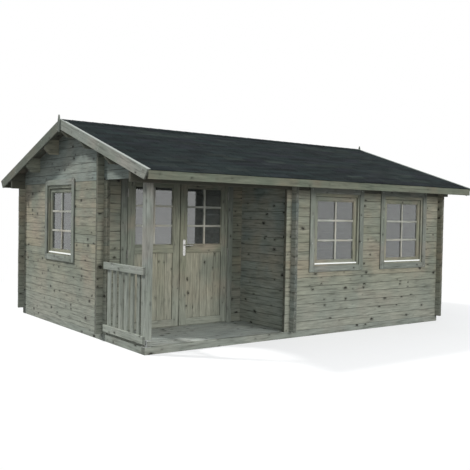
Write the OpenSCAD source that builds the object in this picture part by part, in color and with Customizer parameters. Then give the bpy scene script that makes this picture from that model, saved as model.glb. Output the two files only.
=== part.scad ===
// Log cabin with a recessed corner porch, a double door and three fixed windows.
// Units are millimetres. X runs along the ridge, the porch front faces -Y, and Z is up.
// The origin is on the ground, at the middle of the building's outline.

/* [Building] */
// Length of the walls along the ridge, outer face to outer face
cabin_l = 5100; // [4700:10:6400]
// Depth of the walls from front to back, outer face to outer face
cabin_d = 3830; // [3700:10:4800]
// Height of the foundation beams
base_h = 84; // [60:1:120]
// Width of the foundation beams
base_w = 70; // [50:1:100]
// Thickness of the wall logs
log_t = 44; // [34:1:70]
// Height of one log course
log_h = 114; // [108:1:125]
// How far the log ends pass the wall that they cross
log_over = 86; // [60:1:120]
// Number of whole courses under the wall plates
courses = 16; // [16:1:18]
// Depth of the V between two courses
groove_d = 5; // [2:1:8]

/* [Porch] */
// Depth of the porch, from the front to the door wall
porch_d = 1060; // [980:10:1300]
// Width of the porch, from the left side to the cross wall
porch_w = 2108; // [2060:1:2500]
// Side of the square porch post
post_w = 90; // [70:1:120]
// Height of the adjustable foot under the post
foot_h = 81; // [50:1:120]
// Distance of the post from the front edge
post_back = 5; // [0:1:20]
// Height of the top of the hand rail above the floor
rail_top = 889; // [800:1:1000]
// Height of each rail board
rail_h = 87; // [60:1:100]
// Thickness of each rail board
rail_t = 28; // [20:1:34]
// Height of the bottom rail above the floor
rail_low = 40; // [30:1:120]
// Width of one baluster
baluster_w = 72; // [50:1:80]
// Thickness of one baluster
baluster_t = 20; // [16:1:26]
// Number of balusters
balusters = 6; // [4:1:7]

/* [Floor] */
// Thickness of the floor boards
floor_t = 28; // [20:1:40]
// Width of one floor board
floor_board_w = 110; // [90:1:140]
// Number of bearers under the porch floor
porch_bearers = 3; // [2:1:5]
// Number of bearers under the cabin floor
cabin_bearers = 7; // [4:1:9]
// Width of a bearer
bearer_w = 44; // [34:1:60]

/* [Roof] */
// Pitch of the roof in degrees
pitch = 17.7; // [15:0.1:24]
// Height of the ridge above the wall plates
ridge_rise = 857; // [840:1:900]
// How far the roof boards pass the long walls
eave_out = 370; // [300:5:450]
// How far the roof boards pass the gable walls
gable_out = 205; // [150:5:260]
// Thickness of the roof boards
deck_t = 19; // [16:1:24]
// Thickness of the felt covering
felt_t = 6; // [4:1:10]
// Felt drip past the eave boards
felt_drip = 14; // [8:1:25]
// Thickness of the bargeboards and eave boards
board_t = 20; // [16:1:28]
// Width of the bargeboards
barge_w = 122; // [100:1:150]
// Height of the eave boards
eave_board_h = 104; // [80:1:120]
// Width of the strips along the sloping roof edges
strip_w = 38; // [30:1:50]
// Thickness of those strips
strip_t = 5; // [3:1:8]
// Thickness of a purlin
purlin_t = 44; // [34:1:60]
// Height of a purlin
purlin_h = 190; // [145:5:200]
// Distance from the ridge to the upper side purlin, in plan
purlin_upper = 590; // [500:10:700]
// Distance from the ridge to the lower side purlin, in plan
purlin_lower = 1280; // [1100:10:1400]
// Slanted cut at the lower corner of the purlin and plate ends
end_cut = 72; // [40:1:100]
// Width of a gable finial
finial_w = 46; // [36:1:60]
// Height of a finial below the ridge of the roof
finial_down = 168; // [150:1:220]
// Height of the finial tip above the ridge of the roof
finial_up = 58; // [40:1:80]

/* [Door] */
// Distance from the left side to the middle of the double door
door_x = 1086; // [1060:1:1150]
// Width of one door leaf
leaf_w = 762; // [700:1:770]
// Height of one door leaf
leaf_h = 1915; // [1850:1:1930]
// Thickness of a door leaf
leaf_t = 44; // [36:1:50]
// Width of the stiles and the top rail
stile_w = 102; // [80:1:120]
// Height of the middle rail
mid_rail_h = 104; // [80:1:130]
// Height of the bottom rail
low_rail_h = 90; // [80:1:150]
// Height of the glass in a door leaf
leaf_glass_h = 751; // [650:1:780]
// Gap between a leaf and the frame
leaf_gap = 6; // [5:0.5:8]
// Gap where the two leaves meet
meet_gap = 9; // [8:0.5:12]
// Thickness of the boarded panel
panel_t = 18; // [14:1:24]
// Width of the door frame's members
door_frame_w = 40; // [30:1:50]
// Height of the threshold board
threshold_h = 10; // [8:1:16]
// Width of the trim boards around the door
door_trim_w = 85; // [70:1:100]
// Radius of a hinge barrel
hinge_r = 7; // [6:0.5:9]
// Height of one half of a hinge barrel
hinge_h = 52; // [40:1:60]
// Height of the handle's plate
plate_h = 215; // [180:1:240]
// Width of the handle's plate
plate_w = 40; // [30:1:46]
// Height of the middle of that plate above the floor
handle_up = 1041; // [900:1:1100]
// Distance of the plate's middle from the meeting edge
handle_in = 61; // [40:1:70]
// How far the lever stands out from the leaf
handle_out = 52; // [40:1:60]
// Length of the lever
lever_l = 118; // [90:1:130]

/* [Windows] */
// Distance from the left side to the middle of the first front window
window_1_x = 2920; // [2850:1:2950]
// Distance from the left side to the middle of the second front window
window_2_x = 4275; // [4200:1:4300]
// Distance from the front to the middle of the gable window
gable_window_y = 2420; // [2000:1:2700]
// Width of the opening in the logs
window_w = 910; // [780:1:920]
// Courses of logs below a window
window_low_course = 7; // [6:1:8]
// Width of the window frame's side members
window_frame_w = 60; // [50:1:80]
// Width of the window frame's top member
window_head_w = 74; // [60:1:90]
// Width of the window frame's bottom member
window_sill_w = 50; // [40:1:80]
// Width of the sash members
sash_w = 48; // [40:1:66]
// Thickness of the sash
sash_t = 40; // [34:1:46]
// Gap around the sash
sash_gap = 4; // [2:0.5:5]
// Distance of the sash behind the wall face
sash_in = 22; // [14:1:28]
// Thickness of the panes
glass_t = 4; // [3:0.5:6]
// Width of the trim boards around a window
trim_w = 78; // [70:1:100]
// Thickness of all trim boards
trim_t = 20; // [16:1:26]
// Trim board overlap on the logs
trim_on = 45; // [35:1:55]
// Height of the drip strip under the glass
drip_h = 16; // [12:1:30]

/* [Hidden] */

half_log = log_h / 2;
slit = 0.3;
past = 1;

// Levels: the long walls start with a whole log, the gable walls with half a log.
floor_z = base_h;
plate_z = base_h + courses * log_h;
gable_z = plate_z + half_log;
over_door_z = plate_z + log_h;
ridge_z = plate_z + ridge_rise;
mid_y = cabin_d / 2;
slope = tan(pitch);

// Heights of the roof layers at a distance y from the front. What meets a layer from
// below stops short of it by the width of a slit.
function top_z(y) = ridge_z - abs(y - mid_y) * slope;
function felt_under_z(y) = top_z(y) - felt_t / cos(pitch) - slit;
function deck_under_z(y) = top_z(y) - (felt_t + deck_t) / cos(pitch) - slit;

// Everything is drawn from the front left corner and then moved to the middle.
module placed() {
    translate([-cabin_l / 2, -cabin_d / 2, 0]) children();
}

// Section of a log wall: a column with a V at each joint, on both faces.
function joints(z0, z1, first) = [
    for (k = [0 : ceil((z1 - first) / log_h)])
        if (first + k * log_h > z0 + half_log / 2 && first + k * log_h < z1 - half_log / 4)
            first + k * log_h
];

function reversed(list) = [for (i = [len(list) - 1 : -1 : 0]) list[i]];

function log_section(z0, z1, first) =
    let (levels = joints(z0, z1, first))
    concat(
        [[0, z0], [log_t, z0]],
        [for (z = levels, step = [-1, 0, 1])
            [step == 0 ? log_t - groove_d : log_t, z + step * groove_d]],
        [[log_t, z1], [0, z1]],
        [for (z = reversed(levels), step = [1, 0, -1])
            [step == 0 ? groove_d : 0, z + step * groove_d]]
    );

// A wall along X with its outer face at y, from level z0 to z1.
module wall_x(x0, x1, y, z0, z1) {
    translate([x0, y, 0])
        rotate([90, 0, 90])
            linear_extrude(x1 - x0)
                polygon(log_section(z0, z1, base_h));
}

// A wall along Y with its outer face at x; its joints lie half a log higher.
module wall_y(y0, y1, x, z0, z1) {
    translate([x, y1, 0])
        rotate([90, 0, 0])
            linear_extrude(y1 - y0)
                polygon(log_section(z0, z1, base_h + half_log));
}

// Notches where two walls cross: each log keeps the middle half of its height.
module notches(x, y, z0, z1, first) {
    for (k = [0 : ceil((z1 - first) / log_h)]) {
        low = max(first + k * log_h - half_log / 2, z0 - past);
        high = min(first + k * log_h + half_log / 2, z1 + past);
        if (high > low)
            translate([x, y, low]) cube([log_t, log_t, high - low]);
    }
}

module notches_in_x(x, y, z0, z1) {
    notches(x, y, z0, z1, base_h);
}

module notches_in_y(x, y, z0, z1) {
    notches(x, y, z0, z1, base_h + half_log);
}

// The space under the roof boards.
module under_roof(x0, x1) {
    far = eave_out + cabin_d;
    translate([x0, 0, 0])
        rotate([90, 0, 90])
            linear_extrude(x1 - x0)
                polygon([[-far, 0], [cabin_d + far, 0], [cabin_d + far, deck_under_z(cabin_d + far)],
                    [mid_y, deck_under_z(mid_y)], [-far, deck_under_z(-far)]]);
}

// ---------------------------------------------------------------- foundation and floors

module long_beam(x1, y) {
    translate([0, y, 0]) cube([x1, base_w, base_h]);
}

module cross_beam(x, y0, y1) {
    translate([x, y0, 0]) cube([base_w, y1 - y0, base_h]);
}

module foundation_long_beams() {
    color("#6f756a") placed() {
        long_beam(cabin_l, 0);
        long_beam(porch_w, porch_d);
        long_beam(cabin_l, cabin_d - base_w);
    }
}

module foundation_cross_beams() {
    color("#6f756a") placed() {
        cross_beam(0, base_w, porch_d);
        cross_beam(0, porch_d + base_w, cabin_d - base_w);
        cross_beam(porch_w, base_w, cabin_d - base_w);
        cross_beam(cabin_l - base_w, base_w, cabin_d - base_w);
    }
}

// Bearers run from front to back under the boards, on the ground.
module bearers(count, x0, x1, y0, y1) {
    step = (x1 - x0) / (count + 1);
    for (k = [1 : count])
        translate([x0 + k * step - bearer_w / 2, y0, 0])
            cube([bearer_w, y1 - y0, base_h - floor_t]);
}

module floor_bearers() {
    back_y = cabin_d - base_w;
    left_count = floor(cabin_bearers / 2);
    color("#7d8073") placed() {
        bearers(porch_bearers, base_w, porch_w, base_w, porch_d);
        bearers(left_count, base_w, porch_w, porch_d + base_w, back_y);
        bearers(cabin_bearers - left_count, porch_w + base_w, cabin_l - base_w, base_w, back_y);
    }
}

// A boarded floor between the beams, with a fine groove between its boards.
module boards(x0, x1, y0, y1) {
    rows = floor((y1 - y0) / floor_board_w);
    step = (y1 - y0) / rows;
    difference() {
        translate([x0, y0, base_h - floor_t]) cube([x1 - x0, y1 - y0, floor_t]);
        for (k = [1 : rows - 1])
            translate([x0 - past, y0 + k * step, floor_z - groove_d / 2])
                rotate([45, 0, 0])
                    cube([x1 - x0 + 2 * past, groove_d, groove_d]);
    }
}

module porch_floor() {
    color("#7f8a80") placed()
        boards(base_w, porch_w, base_w, porch_d);
}

module cabin_floor() {
    color("#9c9478") placed() {
        boards(base_w, porch_w - slit, porch_d + base_w, cabin_d - base_w);
        boards(porch_w + base_w, cabin_l - base_w, base_w, cabin_d - base_w);
    }
}

// ---------------------------------------------------------------- walls

// The opening for a window in a wall along X or along Y.
window_low_x = base_h + window_low_course * log_h;
window_low_y = window_low_x + half_log;
window_h = plate_z - window_low_x;

module window_hole_x(x) {
    translate([x - window_w / 2, -past, window_low_x])
        cube([window_w, log_t + 2 * past, window_h + past]);
}

module window_hole_y(y) {
    translate([-past, y - window_w / 2, window_low_y])
        cube([log_t + 2 * past, window_w, window_h + past]);
}

module left_wall() {
    color("#858779") placed()
        difference() {
            wall_y(porch_d - log_over, cabin_d + log_over, 0, base_h, gable_z);
            window_hole_y(gable_window_y);
            notches_in_y(0, porch_d, base_h, gable_z);
            notches_in_y(0, cabin_d - log_t, base_h, gable_z);
        }
}

module right_wall() {
    x = cabin_l - log_t;
    color("#858779") placed()
        difference() {
            wall_y(-log_over, cabin_d + log_over, x, base_h, gable_z);
            notches_in_y(x, 0, base_h, gable_z);
            notches_in_y(x, cabin_d - log_t, base_h, gable_z);
        }
}

// Upper part of a gable wall, cut to the roof, with a slot for each purlin.
module gable(x) {
    intersection() {
        difference() {
            wall_y(-log_over, cabin_d + log_over, x, gable_z, ridge_z);
            notches_in_y(x, 0, gable_z, ridge_z);
            notches_in_y(x, cabin_d - log_t, gable_z, ridge_z);
            purlin_bars(x - past, x + log_t + past);
        }
        under_roof(x - past, x + log_t + past);
    }
}

module left_gable() {
    color("#7c8175") placed()
        difference() {
            gable(0);
            notches_in_y(0, porch_d, gable_z, ridge_z);
        }
}

module right_gable() {
    color("#7c8175") placed()
        gable(cabin_l - log_t);
}

module back_wall() {
    y = cabin_d - log_t;
    color("#83877a") placed()
        difference() {
            wall_x(-log_over, cabin_l + log_over, y, base_h, plate_z);
            notches_in_x(0, y, base_h, plate_z);
            notches_in_x(cabin_l - log_t, y, base_h, plate_z);
        }
}

module front_wall() {
    color("#8b8b7a") placed()
        difference() {
            wall_x(porch_w - log_over, cabin_l + log_over, 0, base_h, plate_z);
            window_hole_x(window_1_x);
            window_hole_x(window_2_x);
            notches_in_x(porch_w, 0, base_h, plate_z);
            notches_in_x(cabin_l - log_t, 0, base_h, plate_z);
        }
}

// The top logs of a long wall. Their ends carry the roof and have a slanted cut.
// Above left_z a left wall crosses them.
module plate(y, left_z) {
    x0 = -gable_out;
    x1 = cabin_l + gable_out;
    intersection() {
        difference() {
            wall_x(x0, x1, y, plate_z, over_door_z + log_h);
            notches_in_x(0, y, left_z, ridge_z);
            notches_in_x(cabin_l - log_t, y, plate_z, ridge_z);
            end_cuts(x0, x1, y, plate_z, log_t);
        }
        under_roof(x0 - past, x1 + past);
    }
}

// Cutters for the slanted lower corners at both ends of a bar along X.
module end_cuts(x0, x1, y, z, width) {
    side = end_cut * sqrt(2);
    for (x = [x0, x1])
        translate([x, y - past, z])
            rotate([0, 45, 0])
                translate([-side / 2, 0, -side / 2])
                    cube([side, width + 2 * past, side]);
}

module front_plate() {
    color("#74786a") placed()
        difference() {
            plate(0, gable_z);
            notches_in_x(porch_w, 0, plate_z, ridge_z);
        }
}

module back_plate() {
    color("#74786a") placed()
        plate(cabin_d - log_t, plate_z);
}

module cross_wall() {
    color("#6f7a72") placed()
        intersection() {
            difference() {
                wall_y(-log_over, porch_d + log_t + log_over, porch_w, base_h, ridge_z);
                notches_in_y(porch_w, 0, base_h, ridge_z);
                notches_in_y(porch_w, porch_d, base_h, ridge_z);
                purlin_bars(porch_w - past, porch_w + log_t + past);
            }
            under_roof(porch_w - past, porch_w + log_t + past);
        }
}

// The double door stands in an opening that fits its frame.
door_clear_w = 2 * leaf_w + 2 * leaf_gap + meet_gap;
door_hole_w = door_clear_w + 2 * door_frame_w;
door_x0 = door_x - door_hole_w / 2;
door_x1 = door_x + door_hole_w / 2;
leaf_z = floor_z + threshold_h + leaf_gap;
door_clear_z = leaf_z + leaf_h + leaf_gap;
door_head_z = door_clear_z + door_frame_w;

module door_wall_left() {
    color("#8f8c70") placed()
        difference() {
            wall_x(-log_over, door_x0, porch_d, base_h, over_door_z);
            notches_in_x(0, porch_d, base_h, over_door_z);
        }
}

module door_wall_right() {
    color("#7c7f6d") placed()
        difference() {
            wall_x(door_x1, porch_w + log_t + log_over, porch_d, base_h, over_door_z);
            notches_in_x(porch_w, porch_d, base_h, over_door_z);
        }
}

module door_wall_over() {
    color("#6c6c58") placed()
        intersection() {
            difference() {
                wall_x(-log_over, porch_w + log_t + log_over, porch_d, over_door_z, ridge_z);
                notches_in_x(0, porch_d, over_door_z, ridge_z);
                notches_in_x(porch_w, porch_d, over_door_z, ridge_z);
                translate([door_x0, porch_d - past, over_door_z - past])
                    cube([door_hole_w, log_t + 2 * past, door_head_z - over_door_z + past]);
                purlin_bars(-log_over - past, porch_w + log_t + log_over + past);
            }
            under_roof(-log_over - past, porch_w + log_t + log_over + past);
        }
}

// ---------------------------------------------------------------- roof

purlin_places = [0, -purlin_upper, -purlin_lower, purlin_upper, purlin_lower];

// Square bars in the places of the purlins, topped by the roof boards.
module purlin_bars(x0, x1) {
    for (place = purlin_places) {
        y = mid_y + place - purlin_t / 2;
        high = deck_under_z(mid_y + abs(place) + purlin_t / 2);
        translate([x0, y, high - purlin_h])
            cube([x1 - x0, purlin_t, purlin_h + purlin_t]);
    }
}

module purlins() {
    x0 = -gable_out;
    x1 = cabin_l + gable_out;
    color("#73766a") placed()
        intersection() {
            difference() {
                purlin_bars(x0, x1);
                for (place = purlin_places)
                    end_cuts(x0, x1, mid_y + place - purlin_t / 2,
                        deck_under_z(mid_y + abs(place) + purlin_t / 2) - purlin_h, purlin_t);
            }
            under_roof(x0 - past, x1 + past);
        }
}

// One slope of a roof layer: a flat sheet from the ridge to a line outside the eave.
// low and high are heights measured down from the roof's top surface, square to it.
module slope_sheet(side, x0, x1, out, low, high) {
    reach = mid_y + out;
    ridge_gap = slit;
    low_drop = low / cos(pitch);
    high_drop = high / cos(pitch);
    translate([x0, mid_y, 0])
        rotate([90, 0, 90])
            linear_extrude(x1 - x0)
                polygon([
                    [side * ridge_gap, ridge_z - ridge_gap * slope - high_drop],
                    [side * reach, ridge_z - reach * slope - high_drop],
                    [side * reach, ridge_z - reach * slope - low_drop],
                    [side * ridge_gap, ridge_z - ridge_gap * slope - low_drop]
                ]);
}

module roof_boards() {
    color("#5d5c50") placed()
        for (side = [-1, 1])
            slope_sheet(side, -gable_out, cabin_l + gable_out, eave_out,
                felt_t + slit, felt_t + deck_t);
}

module roof_felt() {
    color("#23262b") placed()
        for (side = [-1, 1])
            slope_sheet(side, -gable_out, cabin_l + gable_out,
                eave_out + board_t + felt_drip, 0, felt_t);
}

// A bargeboard runs from the ridge past the eave board and ends in a slanted cut.
module bargeboards() {
    reach = mid_y + eave_out + board_t + felt_drip;
    drop = barge_w / cos(pitch);
    tip_in = barge_w * 0.62;
    color("#8d9189") placed()
        for (x = [-gable_out - board_t, cabin_l + gable_out], side = [-1, 1])
            translate([x, mid_y, 0])
                rotate([90, 0, 90])
                    linear_extrude(board_t)
                        polygon([
                            [side * slit, ridge_z - slit * slope],
                            [side * reach, ridge_z - reach * slope],
                            [side * (reach - tip_in), ridge_z - (reach - tip_in) * slope - drop],
                            [side * slit, ridge_z - slit * slope - drop]
                        ]);
}

module rake_strips() {
    reach_out = eave_out + board_t + felt_drip;
    color("#b9bdb8") placed()
        for (x = [-gable_out - board_t, cabin_l + gable_out + board_t - strip_w], side = [-1, 1])
            slope_sheet(side, x, x + strip_w, reach_out, -strip_t, 0);
}

// An eave board closes the ends of the roof boards; its top follows the slope.
module eave_boards() {
    inner = mid_y + eave_out;
    outer = inner + board_t;
    low_z = felt_under_z(outer + mid_y) - eave_board_h;
    color("#858a78") placed()
        for (side = [-1, 1])
            translate([-gable_out, mid_y, 0])
                rotate([90, 0, 90])
                    linear_extrude(cabin_l + 2 * gable_out)
                        polygon([
                            [side * inner, low_z],
                            [side * outer, low_z],
                            [side * outer, felt_under_z(outer + mid_y)],
                            [side * inner, felt_under_z(inner + mid_y)]
                        ]);
}

module finials() {
    half = finial_w / 2;
    low_z = ridge_z - finial_down;
    high_z = ridge_z + finial_up;
    shoulder_z = ridge_z - finial_w / 4;
    color("#8d9189") placed()
        for (x = [-gable_out - 2 * board_t, cabin_l + gable_out + board_t])
            translate([x, mid_y, 0])
                rotate([90, 0, 90])
                    linear_extrude(board_t)
                        polygon([
                            [0, low_z], [half, low_z + half], [half, shoulder_z],
                            [0, high_z], [-half, shoulder_z], [-half, low_z + half]
                        ]);
}

// ---------------------------------------------------------------- porch

foot_plate = 6;
foot_rod_r = 10;
rail_lap = 20;

module porch_post() {
    color("#8d938a") placed()
        translate([0, post_back, floor_z + foot_h])
            cube([post_w, post_w, plate_z - floor_z - foot_h]);
}

// Adjustable foot: a plate on the floor, a threaded rod and a plate under the post.
module post_foot() {
    color("#c6c8c6") placed()
        translate([post_w / 2, post_back + post_w / 2, floor_z]) {
            translate([-post_w / 2, -post_w / 2, 0]) cube([post_w, post_w, foot_plate]);
            cylinder(h = foot_h, r = foot_rod_r, $fn = 32);
            translate([-post_w / 2, -post_w / 2, foot_h - foot_plate])
                cube([post_w, post_w, foot_plate]);
        }
}

// Two rails on the outer faces of the post and the left wall, with the balusters behind them.
module porch_railing() {
    y0 = post_back;
    y1 = porch_d - log_over;
    post_y1 = post_back + post_w;
    step = (y1 - post_y1) / balusters;
    color("#9b9d8f") placed() {
        for (z = [rail_low, rail_top - rail_h])
            translate([-rail_t, y0, floor_z + z]) cube([rail_t, y1 + rail_lap - y0, rail_h]);
        for (k = [0 : balusters - 1])
            translate([0, post_y1 + (k + 0.5) * step - baluster_w / 2,
                    floor_z + rail_low + rail_h / 4])
                cube([baluster_t, baluster_w, rail_top - rail_low - rail_h / 2]);
    }
}

// ---------------------------------------------------------------- double door

leaf_front_y = porch_d - trim_t;
leaf_back_y = leaf_front_y + leaf_t;
stop_w = 14;
stop_y = leaf_back_y + leaf_gap;
frame_back_y = stop_y + stop_w;

// Two jambs and a head, each with a stop behind the leaf, over a threshold board.
module door_frame() {
    left_in = door_x0 + door_frame_w;
    right_in = door_x1 - door_frame_w;
    jamb_h = door_clear_z - floor_z - threshold_h;
    color("#6f6d55") placed() {
        translate([door_x0, porch_d, floor_z])
            cube([door_hole_w, frame_back_y - porch_d, threshold_h]);
        for (place = [[door_x0, left_in], [right_in, right_in - stop_w]])
            translate([place[0], porch_d, floor_z + threshold_h + slit])
                cube([door_frame_w, frame_back_y - porch_d, jamb_h - 2 * slit]);
        for (x = [left_in, right_in - stop_w])
            translate([x, stop_y, floor_z + threshold_h + slit])
                cube([stop_w, stop_w, jamb_h - 2 * slit]);
        translate([door_x0, porch_d, door_clear_z])
            cube([door_hole_w, frame_back_y - porch_d, door_frame_w]);
        translate([left_in + stop_w + slit, stop_y, door_clear_z - stop_w])
            cube([door_clear_w - 2 * stop_w - 2 * slit, stop_w, stop_w]);
    }
}

// Trim boards lie on the logs and the frame, with their inner edges on the opening.
module door_trims() {
    left_in = door_x0 + door_frame_w;
    right_in = door_x1 - door_frame_w;
    color("#85866f") placed() {
        for (x = [left_in - door_trim_w, right_in])
            translate([x, porch_d - trim_t, floor_z])
                cube([door_trim_w, trim_t, door_clear_z - floor_z - slit]);
        translate([left_in - door_trim_w, porch_d - trim_t, door_clear_z])
            cube([door_clear_w + 2 * door_trim_w, trim_t, door_trim_w]);
    }
}

// The hinge axes stand in front of the gaps beside the leaves.
hinge_y = leaf_front_y - hinge_r - 1;
left_axis_x = door_x0 + door_frame_w + leaf_gap / 2;
right_axis_x = door_x1 - door_frame_w - leaf_gap / 2;
hinge_pin_r = 3.5;
hinge_run = 0.08;
hinge_tab_w = 12;
hinge_tab_t = 2.5;
hinge_end = 195;
hinge_levels = [hinge_end, leaf_h / 2, leaf_h - hinge_end];

// One hinge half: a barrel with a plate that lies on the face of the wood.
// side is 1 where the plate points to +X.
module hinge_half(side, z) {
    plate_x = side > 0 ? leaf_gap / 2 : -leaf_gap / 2 - hinge_tab_w;
    web_x = side > 0 ? 0 : -leaf_gap / 2 - hinge_tab_t;
    translate([0, 0, z]) cylinder(h = hinge_h, r = hinge_r, $fn = 48);
    translate([plate_x, leaf_front_y - hinge_y - hinge_tab_t, z])
        cube([hinge_tab_w, hinge_tab_t, hinge_h]);
    translate([web_x, 0, z])
        cube([leaf_gap / 2 + hinge_tab_t, leaf_front_y - hinge_y, hinge_h]);
}

module fixed_hinges(x, side) {
    for (level = hinge_levels)
        translate([x, hinge_y, leaf_z + level]) {
            hinge_half(side, -hinge_h);
            cylinder(h = hinge_h - 4, r = hinge_pin_r, $fn = 48);
        }
}

module door_hinge_pins() {
    color("#8f8f88") placed() {
        fixed_hinges(left_axis_x, -1);
        fixed_hinges(right_axis_x, 1);
    }
}

module leaf_hinges(x, side) {
    for (level = hinge_levels)
        translate([x, hinge_y, leaf_z + level])
            difference() {
                hinge_half(side, slit);
                translate([0, 0, -past])
                    cylinder(h = hinge_h + 3 * past, r = hinge_pin_r + hinge_run, $fn = 48);
            }
}

left_leaf_x = door_x0 + door_frame_w + leaf_gap;
right_leaf_x = left_leaf_x + leaf_w + meet_gap;
hole_w = leaf_w - 2 * stile_w;
panel_z = low_rail_h;
panel_h = leaf_h - stile_w - leaf_glass_h - mid_rail_h - low_rail_h;
leaf_glass_z = panel_z + panel_h + mid_rail_h;

module leaf_frame(x) {
    translate([x, leaf_front_y, leaf_z])
        difference() {
            cube([leaf_w, leaf_t, leaf_h]);
            translate([stile_w, -past, panel_z])
                cube([hole_w, leaf_t + 2 * past, panel_h]);
            translate([stile_w, -past, leaf_glass_z])
                cube([hole_w, leaf_t + 2 * past, leaf_glass_h]);
        }
}

// A boarded panel fills the lower opening, set back from both faces.
module leaf_panel(x) {
    translate([x + stile_w, leaf_front_y + (leaf_t - panel_t) / 2, leaf_z + panel_z])
        cube([hole_w, panel_t, panel_h]);
}

module leaf_glass(x) {
    translate([x + stile_w, leaf_front_y + (leaf_t - glass_t) / 2, leaf_z + leaf_glass_z])
        cube([hole_w, glass_t, leaf_glass_h]);
}

module left_leaf_frame() {
    color("#807f66") placed() leaf_frame(left_leaf_x);
}

module left_leaf_panel() {
    color("#a59f80") placed() leaf_panel(left_leaf_x);
}

module left_leaf_glass() {
    color("#aab4c4", 0.4) placed() leaf_glass(left_leaf_x);
}

module left_leaf_hinges() {
    color("#8f8f88") placed() leaf_hinges(left_axis_x, 1);
}

module right_leaf_frame() {
    color("#807f66") placed() leaf_frame(right_leaf_x);
}

module right_leaf_panel() {
    color("#a59f80") placed() leaf_panel(right_leaf_x);
}

module right_leaf_glass() {
    color("#aab4c4", 0.4) placed() leaf_glass(right_leaf_x);
}

module right_leaf_hinges() {
    color("#8f8f88") placed() leaf_hinges(right_axis_x, -1);
}

// Lever handle on a long plate, on the outer face beside the meeting edge.
lever_r = 9;
plate_t = 5;
lever_above = 32;
lock_below = 55;
lock_out = 9;

module door_handle() {
    color("#d5d5d2") placed()
        translate([right_leaf_x + handle_in, leaf_front_y, floor_z + handle_up]) {
            translate([-plate_w / 2, -plate_t, -plate_h / 2]) cube([plate_w, plate_t, plate_h]);
            translate([0, 0, lever_above])
                rotate([90, 0, 0]) cylinder(h = handle_out, r = lever_r, $fn = 32);
            translate([-lever_r, -handle_out, lever_above])
                rotate([0, 90, 0]) cylinder(h = lever_l, r = lever_r, $fn = 32);
            translate([0, 0, -lock_below])
                rotate([90, 0, 0]) cylinder(h = lock_out, r = lever_r, $fn = 32);
        }
}

// ---------------------------------------------------------------- windows

// Each window is drawn with its opening's lower left corner at the origin, facing -Y.
module at_windows() {
    placed() {
        for (x = [window_1_x, window_2_x])
            translate([x - window_w / 2, 0, window_low_x]) children();
        translate([0, gable_window_y + window_w / 2, window_low_y])
            rotate([0, 0, -90]) children();
    }
}

// An upright ring in the window plane: outer size w by h, with members as wide as
// side, low and high.
module ring(x, y, z, w, t, h, side, low, high) {
    translate([x, y, z])
        difference() {
            cube([w, t, h]);
            translate([side, -past, low])
                cube([w - 2 * side, t + 2 * past, h - low - high]);
        }
}

sash_x = window_frame_w + sash_gap;
sash_low = window_sill_w + sash_gap;
sash_high = window_head_w + sash_gap;
sash_outer_w = window_w - 2 * sash_x;
sash_outer_h = window_h - sash_low - sash_high;
stop_lap = 10;
window_stop_y = sash_in + sash_t;
window_stop_t = 12;

// The frame fills the opening, with a stop behind the sash.
module window_frames() {
    color("#767a69") at_windows() {
        ring(0, 0, 0, window_w, window_stop_y, window_h,
            window_frame_w, window_sill_w, window_head_w);
        ring(0, window_stop_y, 0, window_w, window_stop_t, window_h,
            sash_x + stop_lap, sash_low + stop_lap, sash_high + stop_lap);
    }
}

module window_sashes() {
    color("#868a78") at_windows()
        ring(sash_x, sash_in, sash_low, sash_outer_w, sash_t, sash_outer_h,
            sash_w, sash_w, sash_w);
}

module window_glass() {
    color("#aab4c4", 0.4) at_windows()
        translate([sash_x + sash_w, sash_in + (sash_t - glass_t) / 2, sash_low + sash_w])
            cube([sash_outer_w - 2 * sash_w, glass_t, sash_outer_h - 2 * sash_w]);
}

module window_trims() {
    outer_w = window_w + 2 * trim_on;
    outer_h = window_h + 2 * trim_on;
    color("#8b8f80") at_windows()
        ring(-trim_on, -trim_t, -trim_on, outer_w, trim_t, outer_h,
            trim_w, trim_w, trim_w);
}

// A pale strip along the foot of each sash sheds water over the frame.
module window_drips() {
    drip_out = 18;
    color("#e2e4e2") at_windows()
        translate([sash_x, sash_in - drip_out, sash_low])
            cube([sash_outer_w, drip_out, drip_h]);
}

foundation_long_beams();
foundation_cross_beams();
floor_bearers();
porch_floor();
cabin_floor();
left_wall();
left_gable();
right_wall();
right_gable();
back_wall();
back_plate();
front_wall();
front_plate();
cross_wall();
door_wall_left();
door_wall_right();
door_wall_over();
purlins();
roof_boards();
roof_felt();
bargeboards();
rake_strips();
eave_boards();
finials();
porch_post();
post_foot();
porch_railing();
door_frame();
door_trims();
door_hinge_pins();
window_frames();
window_sashes();
window_glass();
window_trims();
window_drips();
left_leaf_frame();
left_leaf_panel();
left_leaf_glass();
left_leaf_hinges();
right_leaf_frame();
right_leaf_panel();
right_leaf_glass();
right_leaf_hinges();
door_handle();
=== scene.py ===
# %% [markdown]
# # A log cabin with a corner porch
# This lesson dresses a building that is already right in size: walls, roof, doors and
# windows come as plain solids from a fixed frame. Blender adds what the eye looks for:
# single logs with their joints, boards, shingles, glazing bars, and wood that has knots,
# rings and weather on it. Every size is in metres, and Z points up.

# %% Load the fixed frame
import math

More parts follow.
